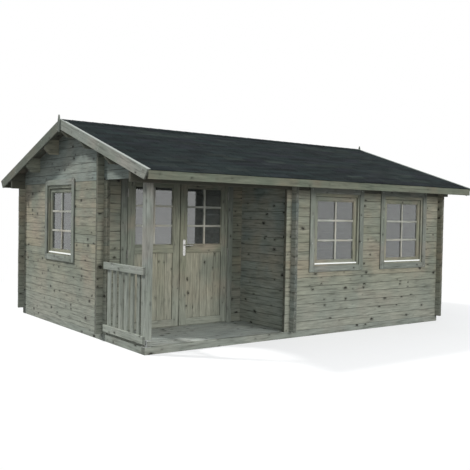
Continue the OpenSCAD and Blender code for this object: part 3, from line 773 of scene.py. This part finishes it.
shingles = []
for side in (-1, 1):
    axes = slope_axes(side)
    direction = axes[0, 1]
    bed = box_outline(felt_high[0] - felt_low[0], BED_T, 0.0005)
    bed = carry(bed, 0.002, felt_run, 2, tint=0.4)
    shingles.append(placed(bed, axes, ridge_point - axes[:, 2] * (FELT_T - BED_T / 2)))
    for course in range(COURSE_COUNT):
        s_low = felt_run - course * exposure
        s_high = max(s_low - exposure * TAB_LAP, 0.004)
        shift = (course % 2) * TAB_W / 2 + rng.uniform(-0.01, 0.01)
        edges = np.arange(felt_low[0] - TAB_W + shift, felt_high[0] + TAB_W, TAB_W)
        for x0, x1 in zip(edges[:-1], edges[1:]):
            x0 = max(x0 + TAB_GAP / 2, felt_low[0])
            x1 = min(x1 - TAB_GAP / 2, felt_high[0])
            if x1 - x0 > TAB_LEAST:
                low_edge = s_low + rng.uniform(-0.002, 0.0)
                span = sorted((x0 * direction, x1 * direction))
                shingles.append(tab(axes, s_high, low_edge, *span))
print("tabs:", len(shingles) - 2)

# %% [markdown]
# Ridge caps are single tabs bent over the ridge, each lapping the one before it. Their
# section is an arc between two straight legs.

# %% Ridge caps
CAP_W = 0.13
CAP_STEP = 0.145
CAP_LAP = 0.21
CAP_T = 0.003
CAP_LIFT = 0.0035
BEND_R = 0.02


def cap_outline():
    """Section of a cap: two legs down the slopes and an arc between them, one thickness deep."""
    turn = np.linspace(-PITCH, PITCH, 7)
    rise = BEND_R / math.cos(PITCH)
    arc = np.stack([BEND_R * np.sin(turn), BEND_R * np.cos(turn) - rise], axis=1)
    leg = np.array([math.cos(PITCH), -math.sin(PITCH)]) * CAP_W
    middle = np.vstack([arc[0] + leg * [-1, 1], arc, arc[-1] + leg])
    turn = np.concatenate([turn[:1], turn, turn[-1:]])
    outer = middle + np.stack([np.sin(turn), np.cos(turn)], axis=1) * CAP_T
    return np.vstack([middle, outer[::-1]])


caps = []
cap_count = int((felt_high[0] - felt_low[0] - CAP_LAP) / CAP_STEP) + 1
for k in range(cap_count + 1):
    x0 = felt_low[0] + k * CAP_STEP
    x1 = min(x0 + CAP_LAP, felt_high[0])
    stock = carry(cap_outline(), x0, x1, 2, bevel=0.0008)
    slope = (stock["points"][:, 0] - x0) / CAP_LAP
    stock["points"][:, 2] += ridge_z + 0.001 + CAP_LIFT * (1 - slope)
    caps.append(stock)
print("caps:", len(caps))

# %% Felt material
GRIT = 0.0035
CLOUD_SCALE = (2.2, 9.0, 9.0)
FELT_TONES = ("181c1d", "1e2424", "1d2424", "1d2023", "252b29")


def bitumen_shingle():
    """Mineral surfaced bitumen: dark blends of grit, very rough, in darker and paler clouds."""
    material, tree = new_material("mineral bitumen shingle")
    place = own_place(tree)
    tint = point_value(tree, "tint")
    tone = add(tree, "ValToRGB", {"Fac": tint}, stops=FELT_TONES).outputs["Color"]
    cloud = noise(tree, vectors(tree, "MULTIPLY", place, CLOUD_SCALE), detail=3.0)["Fac"]
    grit = add(tree, "TexVoronoi", {"Vector": place, "Scale": 1 / GRIT}).outputs
    speck = add(tree, "SeparateColor", {0: grit["Color"]}).outputs[1]
    gain = maths(tree, "MULTIPLY", remap(tree, cloud, 0.3, 0.7, 0.6, 1.45),
                 remap(tree, speck, 0.0, 1.0, 0.75, 1.3))
    return dress(material, Base_Color=brightened(tree, tone, gain), Roughness=0.9,
                 Specular_IOR_Level=0.05, Normal=relief(tree, grit["Distance"], 0.5, 0.001))


felt = bitumen_shingle()
install("shingles", shingles, felt, "roof_felt", slot="roof_felt")
install("ridge_caps", caps, felt, slot="roof_felt")

# %% [markdown]
# ## Boards at the roof edges
# A bargeboard is cut plumb at the ridge and slanted at the eave, so its start and end
# depend on the height in the board.

# %% Bargeboards
BARGE_W = 0.122
BARGE_T = 0.020
barge_low, barge_high = node_box("bargeboards")
TIP_IN = 0.62


def bargeboard(x0, x1, side):
    """One sloping board between x0 and x1; side is 1 at the back and -1 in front."""
    axes = slope_axes(side)
    outline = np.array(box_outline(x1 - x0, BARGE_W, 0.002)) + [0, -BARGE_W / 2]
    drop = -outline[:, 1]
    reach = barge_high[1] - TIP_IN * drop
    start = (0.0005 + drop * math.sin(PITCH)) / math.cos(PITCH)
    end = (reach + drop * math.sin(PITCH)) / math.cos(PITCH)
    stock = carry(outline, start, end, 5, tint=0.5)
    return placed(stock, axes, ridge_point + [(x0 + x1) / 2, 0, 0])


for side, wood, name in ((-1, trim_pine, "front_bargeboards"), (1, dark_pine, "back_bargeboards")):
    barges = [bargeboard(x0, x0 + BARGE_T, side) for x0 in (barge_low[0], barge_high[0] - BARGE_T)]
    install(name, barges, wood, "bargeboards", slot="trim_boards")
fascia = [plank(low + [0, 0, 0.007], high - [0, 0, 0.010], "x", 0.002, rings=6, wander=0.0005)
          for low, high in solid_boxes("eave_boards")]
install("fascia_boards", fascia, edge_pine, "eave_boards", slot="trim_boards")

# %% [markdown]
# A finial is a small pointed board that covers the joint of two bargeboards. Its outline
# is drawn in the plane of the gable and carried through the board's thickness.

# %% Finials
def finial(low, high):
    """A board that is pointed above and below, with its fibres upright."""
    half = (high[1] - low[1]) / 2
    foot, neck = low[2] + half, ridge_z - half / 2
    outline = np.array([(0, low[2]), (half, foot), (half, neck),
                        (0, high[2]), (-half, neck), (-half, foot)])
    return carry(outline, low[0], high[0], 2, fibre=2)


install("gable_finials", [finial(*box) for box in solid_boxes("finials")], trim_pine, "finials",
        slot="trim_boards")

# %% [markdown]
# ## The porch
# A square post stands on a metal foot and carries the corner of the roof. A railing of
# two boards and six balusters closes the left side.

# %% Post and railing
RAIL_T = 0.028
RAIL_H = 0.087
BALUSTERS = 6
BALUSTER_W = 0.072
BALUSTER_T = 0.020
RAIL_LAP = 0.020
rail_low, rail_high = node_box("porch_railing")
post_low, post_high = node_box("porch_post")
install("square_post", [plank(post_low, post_high, "z", 0.005, rings=6, wander=0.0006)], trim_pine,
        "porch_post", slot="porch_wood")
rail_back = rail_low[0] + RAIL_T
rail_heights = (rail_low[2], rail_high[2] - RAIL_H)
railing = [plank([rail_low[0], rail_low[1], z], [rail_back, rail_high[1], z + RAIL_H], "y", 0.004,
                 rings=4, wander=0.0006, tint=1.0) for z in rail_heights]
step = (rail_high[1] - RAIL_LAP - post_high[1]) / BALUSTERS
baluster_places = post_high[1] + (np.arange(BALUSTERS) + 0.5) * step
below, above = rail_low[2] + RAIL_H / 4, rail_high[2] - RAIL_H / 4
for y in baluster_places:
    railing.append(plank([rail_back, y - BALUSTER_W / 2, below],
                         [rail_back + BALUSTER_T, y + BALUSTER_W / 2, above], "z", 0.003))
install("railing_boards", railing, trim_pine, "porch_railing", slot="porch_wood")

# %% [markdown]
# ## The windows
# All three windows are the same: a frame in the logs, a sash with two by three panes,
# glazing bars on both faces of the glass, and flat trim around the outside. One is made
# in its own axes, as seen from outside: x to the right, y inwards, z up, with the origin
# at the lower left corner of the opening. Then it is turned to face the way it should.

# %% A window in its own axes
FRAME_W = 0.060
HEAD_W = 0.074
SILL_W = 0.050
SASH_IN = 0.022
SASH_T = 0.040
SASH_GAP = 0.004
SASH_W = 0.048
TRIM_W = 0.078
TRIM_T = 0.020
TRIM_ON = 0.045
STOP_T = 0.012
STOP_LAP = 0.014
GLASS_T = 0.004
BAR_W = 0.027
BAR_PROUD = 0.015
SET_BACK = 0.0005
BEAD = 0.012
BEAD_PROUD = 0.011
PANES_ACROSS, PANES_UP = 2, 3


def ring_boards(x0, x1, z0, z1, y0, y1, width, cut=0.003, top=None, low=None):
    """Two uprights of full height, with a top and a bottom member of their own heights between."""
    top, low = top or width, low or width
    return [
        plank([x0, y0, z0], [x0 + width, y1, z1], "z", cut),
        plank([x1 - width, y0, z0], [x1, y1, z1], "z", cut),
        plank([x0 + width, y0, z1 - top], [x1 - width, y1, z1], "x", cut),
        plank([x0 + width, y0, z0], [x1 - width, y1, z0 + low], "x", cut),
    ]


def glazing(x0, x1, z0, z1, y_mid):
    """Beads around the glass and bars across it at equal panes, on both faces, as two lists."""
    beads, bars = [], []
    for face in (-1, 1):
        near = y_mid + face * GLASS_T / 2
        y0, y1 = sorted((near, near + face * BEAD_PROUD))
        beads += ring_boards(x0, x1, z0, z1, y0, y1, BEAD)
        y0, y1 = sorted((near, near + face * BAR_PROUD))
        for x in np.linspace(x0, x1, PANES_ACROSS + 1)[1:-1]:
            bars.append(plank([x - BAR_W / 2, y0, z0 + BEAD],
                              [x + BAR_W / 2, y1, z1 - BEAD], "z", 0.003))
        for z in np.linspace(z0, z1, PANES_UP + 1)[1:-1]:
            bars.append(plank([x0 + BEAD, y0 - face * SET_BACK, z - BAR_W / 2],
                              [x1 - BEAD, y1 - face * SET_BACK, z + BAR_W / 2], "x", 0.003))
    return beads, bars


# %% Four lists of boards for one window
def window_parts(width, height):
    """Frame, sash, bars and trim of one window, each as a list of boards."""
    back = SASH_IN + SASH_T
    frame_boards = ring_boards(0, width, 0, height, 0.0, back, FRAME_W, 0.003, HEAD_W, SILL_W)
    frame_boards += ring_boards(0.001, width - 0.001, 0.001, height - 0.001, back, back + STOP_T,
                                FRAME_W + STOP_LAP, 0.002, HEAD_W + STOP_LAP, SILL_W + STOP_LAP)
    x0, x1 = FRAME_W + SASH_GAP, width - FRAME_W - SASH_GAP
    z0, z1 = SILL_W + SASH_GAP, height - HEAD_W - SASH_GAP
    sash = ring_boards(x0, x1, z0, z1, SASH_IN, back, SASH_W, 0.004)
    beads, bars = glazing(x0 + SASH_W, x1 - SASH_W, z0 + SASH_W, z1 - SASH_W, SASH_IN + SASH_T / 2)
    trim = ring_boards(-TRIM_ON, width + TRIM_ON, -TRIM_ON, height + TRIM_ON, -TRIM_T, 0.0, TRIM_W)
    return frame_boards, sash + beads, bars, trim


# %% The three windows in their places
# The window axes as columns: to the right, inwards, up.
FACING_FRONT = np.eye(3)
FACING_LEFT = np.array([[0, 1, 0], [-1, 0, 0], [0, 0, 1]], float)
window_sets = [(box, FACING_FRONT, (box[0][0], box[0][1], box[0][2])) for box in front_windows]
window_sets += [(box, FACING_LEFT, (box[0][0], box[1][1], box[0][2])) for box in gable_windows]
window_boards = [], [], [], []
for (low, high), axes, origin in window_sets:
    size = np.abs(axes.T @ (high - low))
    for store, boards in zip(window_boards, window_parts(size[0], size[2])):
        store += [placed(board, axes, origin) for board in boards]
frames, sashes, bars, trims = window_boards
install("window_frame_boards", frames, joinery_pine, "window_frames", slot="joinery_wood")
install("window_sash_boards", sashes, joinery_pine, "window_sashes", slot="joinery_wood")
install("window_bars", bars, bar_pine, slot="joinery_wood")
install("window_trim_boards", trims, trim_pine, "window_trims", slot="trim_boards")

# %% [markdown]
# ## The double door
# A leaf has two stiles, three rails, a boarded panel below and six panes above. Its
# sizes come from the boxes of its frame, panel and glass.

# %% Door leaves
PANEL_BOARD_W = 0.094


def leaf(side):
    """Boards of one leaf: its framing, its bars and its panel."""
    low, high = node_box(f"{side}_leaf_frame")
    panel_low, panel_high = node_box(f"{side}_leaf_panel")
    glass_low, glass_high = node_box(f"{side}_leaf_glass")
    stile = panel_low[0] - low[0]
    x0, x1 = low[0] + stile, high[0] - stile
    framing = [plank(low, [x0, high[1], high[2]], "z", 0.003, rings=5),
               plank([x1, low[1], low[2]], high, "z", 0.003, rings=5)]
    for z0, z1 in ((low[2], panel_low[2]), (panel_high[2], glass_low[2]), (glass_high[2], high[2])):
        framing.append(plank([x0, low[1], z0], [x1, high[1], z1], "x", 0.003))
    beads, bars = glazing(glass_low[0], glass_high[0], glass_low[2], glass_high[2],
                          (glass_low[1] + glass_high[1]) / 2)
    return framing + beads, bars, strips(panel_low, panel_high, PANEL_BOARD_W, 2, 0)


for side in ("left", "right"):
    framing, bars, panel = leaf(side)
    body = f"{side}_leaf"
    install(f"{body}_framing", framing, joinery_pine, f"{body}_frame", body,
            slot="joinery_wood")
    install(f"{body}_bars", bars, bar_pine, None, body, slot="joinery_wood")
    install(f"{body}_boards", panel, panel_pine, f"{body}_panel", body, slot="panel_wood")
for name, node, wood, edge in (("door_frame_boards", "door_frame", joinery_pine, 0.002),
                               ("door_trim_boards", "door_trims", trim_pine, 0.003)):
    boards = [plank(low, high, "x" if high[0] - low[0] > high[2] - low[2] else "z", edge)
              for low, high in solid_boxes(node)]
    install(name, boards, wood, node, slot="joinery_wood")

# %% [markdown]
# ## Glass and metal
# Float glass is clear, with a faint grey film of dust. Its faces reflect the sky, and
# behind it the room is dark. A coat stands for the second pane. The window in the gable
# wall is left without the coat, so that it reflects less, as painted shade on that pane.
# Metals differ by how their surface was made: galvanised steel is dull and mottled,
# satin steel is bright, and the drip strips are white lacquer.

# %% Glass and metal materials
def float_glass(name, coat_index, dimmer_at_gable=False):
    """Float glass, index 1.52, with a coat for its second pane; on request the gable window gets no
    coat, as painted shade on its reflection.
    """
    material, tree = new_material(name)
    coat = 1.0
    # Painted shade: the gable window gets no coat, so that its pane reflects less.
    if dimmer_at_gable:
        across = add(tree, "SeparateXYZ", {0: own_place(tree)}).outputs["X"]
        coat = maths(tree, "GREATER_THAN", across, gable_windows[0][1][0] + 0.1)
    return dress(material, Base_Color=linear("bdc2c0"), Roughness=0.02, IOR=1.52,
                 Transmission_Weight=0.92, Coat_Weight=coat, Coat_Roughness=0.02,
                 Coat_IOR=coat_index)


def metal(name, code, rough, mottle, size):
    """Bare metal whose roughness drifts by a share called mottle over patches of a given size."""
    material, tree = new_material(name)
    patches = noise(tree, own_place(tree), 1 / size, 3.0)["Fac"]
    return dress(material, Base_Color=linear(code), Metallic=1.0,
                 Roughness=remap(tree, patches, 0.3, 0.7, rough - mottle, rough + mottle))


def lacquer(name, code, rough):
    """Lacquer on aluminium: a smooth coat over a faint orange peel."""
    material, tree = new_material(name)
    peel = noise(tree, own_place(tree), 400.0)["Fac"]
    return dress(material, Base_Color=linear(code), Roughness=rough,
                 Normal=relief(tree, peel, 0.1, 0.0004))


glass = float_glass("float glass", 1.5, dimmer_at_gable=True)
door_glass = float_glass("double float glass", 1.9)
zinc = metal("galvanised steel", "b9bcba", 0.45, 0.12, 0.012)
hinge_steel = metal("passivated hinge steel", "8b8c86", 0.5, 0.08, 0.01)
satin_steel = metal("satin stainless steel", "d8d8d4", 0.28, 0.05, 0.02)
white_lacquer = lacquer("white lacquered aluminium", "f2f3ee", 0.35)
edge_lacquer = lacquer("grey lacquered edge strip", "8f948e", 0.5)
print("metals and glass ready")

# %% [markdown]
# ## Small metal parts
# Round parts are swept: rings of points stand square to a path, and each ring has its
# own radius. A threaded rod is a straight path whose radius rises and falls once a turn,
# with the turn's start moving up by one pitch. Real M20 thread has a 2.5 mm pitch.

# %% Swept parts
BAR_BEVEL = 0.001


def sweep(path, radius, sides):
    """Rings of points c(k) + r(k, t) * (cos t * side + sin t * up) along a path of centres c."""
    path = np.asarray(path, float)
    ahead = np.gradient(path, axis=0)
    ahead /= np.linalg.norm(ahead, axis=1, keepdims=True)
    turn = np.linspace(0, 2 * np.pi, sides, endpoint=False)
    guide = np.array([0, 0, 1.0]) if abs(ahead[0, 2]) < 0.9 else np.array([1.0, 0, 0])
    side = np.cross(guide, ahead)
    side /= np.linalg.norm(side, axis=1, keepdims=True)
    up = np.cross(ahead, side)
    radius = np.asarray(radius, float).reshape(len(path), -1)
    radius = np.broadcast_to(radius, (len(path), sides))[..., None]
    around = np.cos(turn)[:, None] * side[:, None] + np.sin(turn)[:, None] * up[:, None]
    points = (path[:, None] + radius * around).reshape(-1, 3)
    blank = np.zeros(len(points))
    return {"points": points, "faces": tube_faces(len(path), sides), "grain": points,
            "tint": blank, "joint": blank, "cut": blank}


def rounded_bar(start, end, radius):
    """A straight round bar with a small bevel at each end."""
    start, end = np.asarray(start, float), np.asarray(end, float)
    step = (end - start) / np.linalg.norm(end - start) * BAR_BEVEL
    rings = [radius - BAR_BEVEL, radius, radius, radius - BAR_BEVEL]
    return sweep([start, start + step, end - step, end], rings, 28)


def screw_head(place, outwards, radius=0.0045):
    """A low domed head: radius r * cos a at height 0.45 r * sin a, a from 0 to a right angle."""
    angle = np.linspace(0, 1.45, 5)
    path = np.asarray(place) + np.outer(0.45 * radius * np.sin(angle), outwards)
    return sweep(path, radius * np.cos(angle), 12)


# %% [markdown]
# The door handle has a long plate with round ends, a collar, a neck that bends into the
# lever, and a keyhole cover with its slot. All its places come from the box of the
# handle in the frame: the plate is at its left end and the neck near its top.

# %% Door handle
PLATE_W = 0.040
PLATE_T = 0.005
LEVER_R = 0.009
LEVER_ABOVE = 0.032
LOCK_BELOW = 0.055
NECK_BEND = 0.014
LEVER_END = 0.004 / LEVER_R
COLLAR_R, COLLAR_T = 0.0125, 0.006
LOCK_R, LOCK_T = 0.009, 0.003
handle_low, handle_high = node_box("door_handle")
plate_middle = np.array([handle_low[0] + PLATE_W / 2, handle_high[1],
                         (handle_low[2] + handle_high[2]) / 2])
plate_half = (handle_high[2] - handle_low[2]) / 2
outwards = np.array([0, -1.0, 0])


def handle_parts():
    """Plate, collar, bent lever, keyhole cover and screws, on the outer face of the right leaf."""
    turn = np.linspace(-np.pi / 2, 1.5 * np.pi, 40, endpoint=False) + np.pi / 40
    reach = plate_half - PLATE_W / 2
    outline = np.stack([np.cos(turn), np.sin(turn)], axis=1) * PLATE_W / 2
    outline[:, 1] += np.sign(outline[:, 1]) * reach
    plate = carry(outline, -PLATE_T, 0, 2, bevel=0.0012)
    axes = np.array([[0, 1, 0], [1, 0, 0], [0, 0, -1]], float)
    parts = [placed(plate, axes, plate_middle)]
    neck = plate_middle + [0, 0, LEVER_ABOVE]
    out = plate_middle[1] - handle_low[1] - LEVER_R
    angle = np.linspace(0, np.pi / 2, 9)
    path = [neck + outwards * 0.004]
    path += [neck + [NECK_BEND * (1 - math.cos(a)), -(out - NECK_BEND) - NECK_BEND * math.sin(a), 0]
             for a in angle]
    path += [np.array([handle_high[0] - short, neck[1] - out, neck[2]])
             for short in (0.004, 0.001, 0)]
    radius = LEVER_R * np.array([1.0, *[0.9] * len(angle), 0.95, 0.8, LEVER_END])
    parts.append(sweep(path, radius, 24))
    lock = plate_middle - [0, 0, LOCK_BELOW]
    for place, size, height in ((neck, COLLAR_R, COLLAR_T), (lock, LOCK_R, LOCK_T)):
        parts.append(rounded_bar(place + outwards * PLATE_T,
                                 place + outwards * (PLATE_T + height), size))
    for z in (-plate_half + 0.012, plate_half - 0.012):
        parts.append(screw_head(plate_middle + [0, -PLATE_T, z], outwards, 0.0038))
    return parts


install("lever_handle", handle_parts(), satin_steel, "door_handle", "right_leaf",
        slot="handle_steel")

# %% [markdown]
# The post stands on an adjustable foot: a plate on the floor, a threaded rod with two
# nuts, and a plate under the post.

# %% Post foot
FOOT_PLATE = 0.006
ROD_R = 0.010
THREAD_PITCH = 0.0025
THREAD_DEPTH = 0.0013
NUT_R = 0.0173
NUT_H = 0.013
FOOT_SCREW_IN = 0.014
foot_low, foot_high = node_box("post_foot")
foot_middle = (foot_low + foot_high) / 2


def threaded_rod(z0, z1):
    """A rod of radius ROD_R - THREAD_DEPTH * |2 f - 1|, with f the height in pitches plus turn."""
    sides = 24
    heights = np.arange(z0, z1, THREAD_PITCH / 5)
    f = (heights[:, None] / THREAD_PITCH + np.arange(sides) / sides) % 1.0
    path = [[foot_middle[0], foot_middle[1], height] for height in heights]
    return sweep(path, ROD_R - THREAD_DEPTH * np.abs(2 * f - 1), sides)


def nut(z):
    """A hexagonal nut around the rod, resting at height z."""
    turn = np.arange(6) * np.pi / 3
    outline = np.stack([np.cos(turn), np.sin(turn)], axis=1) * NUT_R
    stock = carry(outline, z, z + NUT_H, 2, bevel=0.0012)
    return placed(stock, ALONG["z"], [foot_middle[0], foot_middle[1], 0])


foot_base, foot_top = foot_low[2] + FOOT_PLATE, foot_high[2] - FOOT_PLATE
foot = [plank(foot_low, [foot_high[0], foot_high[1], foot_base], "z", 0.004),
        plank([foot_low[0], foot_low[1], foot_top], foot_high, "z", 0.004),
        threaded_rod(foot_base, foot_top), nut(foot_base), nut(foot_top - NUT_H)]
foot += [screw_head([x, y, foot_base], [0, 0, 1.0], 0.006)
         for x in (foot_low[0] + FOOT_SCREW_IN, foot_high[0] - FOOT_SCREW_IN)
         for y in (foot_low[1] + FOOT_SCREW_IN, foot_high[1] - FOOT_SCREW_IN)]
install("threaded_foot", foot, zinc, "post_foot", slot="zinc_steel")

# %% [markdown]
# Boards are held by screws. Their heads lie a little above the wood, in pairs near the
# ends of every trim board, on the rails at each baluster, and along the bargeboards.

# %% Board screws
SCREW_IN = 0.028
heads = []
for (low, high), axes, origin in window_sets:
    size = np.abs(axes.T @ (high - low))
    for x in (-TRIM_ON + TRIM_W / 2, size[0] + TRIM_ON - TRIM_W / 2):
        for z in np.linspace(-TRIM_ON + SCREW_IN, size[2] + TRIM_ON - SCREW_IN, 4):
            heads.append(screw_head(np.asarray(origin) + axes @ [x, -TRIM_T, z], -axes[:, 1]))
for z in rail_heights:
    for y in baluster_places:
        heads.append(screw_head([rail_low[0], y, z + RAIL_H * 2 / 3], [-1.0, 0, 0]))
for x, face in ((barge_low[0], -1.0), (barge_high[0], 1.0)):
    for side in (-1, 1):
        axes = slope_axes(side)
        for reach in np.arange(0.12, felt_run - 0.1, 0.55):
            for drop in (0.03, 0.09):
                place = ridge_point + [x, 0, 0] + axes @ [reach, 0, -drop]
                heads.append(screw_head(place, [face, 0, 0]))
install("board_screws", heads, zinc, slot="zinc_steel")

# %% [markdown]
# Some nodes of the frame already have their true shape, and only need a finish.

# %% Finishes on the frame's own solids
FINISHES = {
    "window_glass": glass, "left_leaf_glass": door_glass, "right_leaf_glass": door_glass,
    "left_leaf_hinges": hinge_steel, "right_leaf_hinges": hinge_steel,
    "door_hinge_pins": hinge_steel, "window_drips": white_lacquer, "rake_strips": edge_lacquer,
}
for node, finish in FINISHES.items():
    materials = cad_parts[node].data.materials
    materials.clear()
    materials.append(finish)
    print(node, "->", finish.name)

# %% [markdown]
# ## Camera
# The camera stands near eye height, turned towards the porch corner and very slightly
# rolled. Its three axes follow from yaw, pitch and roll.

# %% Camera
YAW, TILT, ROLL = (math.radians(angle) for angle in (36.546, -1.681, 1.0686))
EYE = (-6.3149, -8.6297, 1.5737)
forward = np.array([math.sin(YAW) * math.cos(TILT), math.cos(YAW) * math.cos(TILT), math.sin(TILT)])
level = np.array([math.cos(YAW), -math.sin(YAW), 0])
upward = np.cross(level, forward)
right = math.cos(ROLL) * level + math.sin(ROLL) * upward
upward = math.cos(ROLL) * upward - math.sin(ROLL) * level
camera_data = bpy.data.cameras.new("camera")
camera_data.lens = 53.295
camera = bpy.data.objects.new("camera", camera_data)
bpy.context.scene.collection.objects.link(camera)
matrix = np.eye(4)
matrix[:3] = np.column_stack([right, upward, -forward, EYE])
camera.matrix_world = Matrix(matrix.tolist())
bpy.context.scene.camera = camera
print("camera at", EYE)

# %% [markdown]
# ## Studio
# A pale floor lies under an even, very slightly blue dome. Two soft lamps stand in
# front. A third stands far off at the back left, as a low sun would, and casts the
# slanted shade of the roof on the gable wall and a patch of light on the porch floor.
# The floor fades to plain white away from the building, so no horizon shows; to light
# that bounces off the wood it is a duller grey, or the soffits would glow.

# %% Floor
FLOOR_R = 60.0
FLOOR_FADE = (3.0, 7.0, 0.6, 1.0)
BOUNCE = "7c7c7c"


def seen_directly(tree):
    """1 for rays from the camera, a mirror or a pane, and 0 for the rest."""
    rays = add(tree, "LightPath").outputs
    seen = maths(tree, "MAXIMUM", rays["Is Camera Ray"], rays["Is Glossy Ray"])
    return maths(tree, "MAXIMUM", seen, rays["Is Transmission Ray"])


def studio_floor():
    """A flat disc: matt near the building, plain white further out, and grey to bounced light."""
    turn = np.linspace(0, 2 * np.pi, 96, endpoint=False)
    ring = np.stack([FLOOR_R * np.cos(turn), FLOOR_R * np.sin(turn), 0 * turn], axis=1)
    mesh = bpy.data.meshes.new("studio_floor")
    mesh.from_pydata(ring.tolist(), [], [list(range(96))])
    floor = bpy.data.objects.new("studio_floor", mesh)
    bpy.context.scene.collection.objects.link(floor)
    material, tree = new_material("studio floor")
    dress(material, Base_Color=linear("f4f4f4"), Roughness=0.9)
    matt = tree.nodes["Principled BSDF"].outputs[0]
    distance = add(tree, "VectorMath", {0: own_place(tree)}, operation="LENGTH").outputs["Value"]
    fade = remap(tree, distance, *FLOOR_FADE, smooth=True)
    white = add(tree, "Emission", {"Color": linear("ffffff"), "Strength": 1.0}).outputs[0]
    pale = add(tree, "MixShader", {0: fade, 1: matt, 2: white}).outputs[0]
    dull = add(tree, "BsdfDiffuse", {"Color": linear(BOUNCE)}).outputs[0]
    mixed = add(tree, "MixShader", {0: seen_directly(tree), 1: dull, 2: pale}).outputs[0]
    tree.links.new(mixed, tree.nodes["Material Output"].inputs["Surface"])
    mesh.materials.append(material)


studio_floor()
print(f"floor {2 * FLOOR_R:.0f} m across")

# %% Dome
DOME = 0.62


def studio_world():
    """White where the camera, a mirror or a pane looks; an even pale dome for everything else."""
    world = bpy.data.worlds.new("studio")
    bpy.context.scene.world = world
    world.use_nodes = True
    tree = world.node_tree
    sky = tree.nodes["Background"].inputs
    put(tree, blend(tree, seen_directly(tree), linear("f0f8fd"), "ffffff"), sky["Color"])
    put(tree, remap(tree, seen_directly(tree), 0.0, 1.0, DOME, 1.0), sky["Strength"])


studio_world()
print("dome strength", DOME)

# %% Lamps
TO_SUN = np.array([-0.73, 0.66, 1.0])
SUN_FAR = 60
target = np.array([0, 0, 1.0])


def soft_lamp(name, place, size, energy):
    """A square area lamp that looks at the building. Panes and metal don't show it."""
    data = bpy.data.lights.new(name, "AREA")
    data.size = size
    data.energy = energy
    lamp = bpy.data.objects.new(name, data)
    lamp.visible_glossy = False
    bpy.context.scene.collection.objects.link(lamp)
    back = np.array(place, float) - target
    back /= np.linalg.norm(back)
    side = np.cross([0, 0, 1], back)
    side /= np.linalg.norm(side)
    turn = np.eye(4)
    turn[:3] = np.column_stack([side, np.cross(back, side), back, place])
    lamp.matrix_world = Matrix(turn.tolist())


soft_lamp("back_left", target + SUN_FAR * TO_SUN, 7.5, 84000)
soft_lamp("front_right", (2.0, -12.8, 4.8), 4.0, 850)
soft_lamp("front_left", (-5.5, -12.0, 3.2), 5.0, 330)
bpy.context.scene.view_settings.view_transform = "Standard"
print("studio ready")
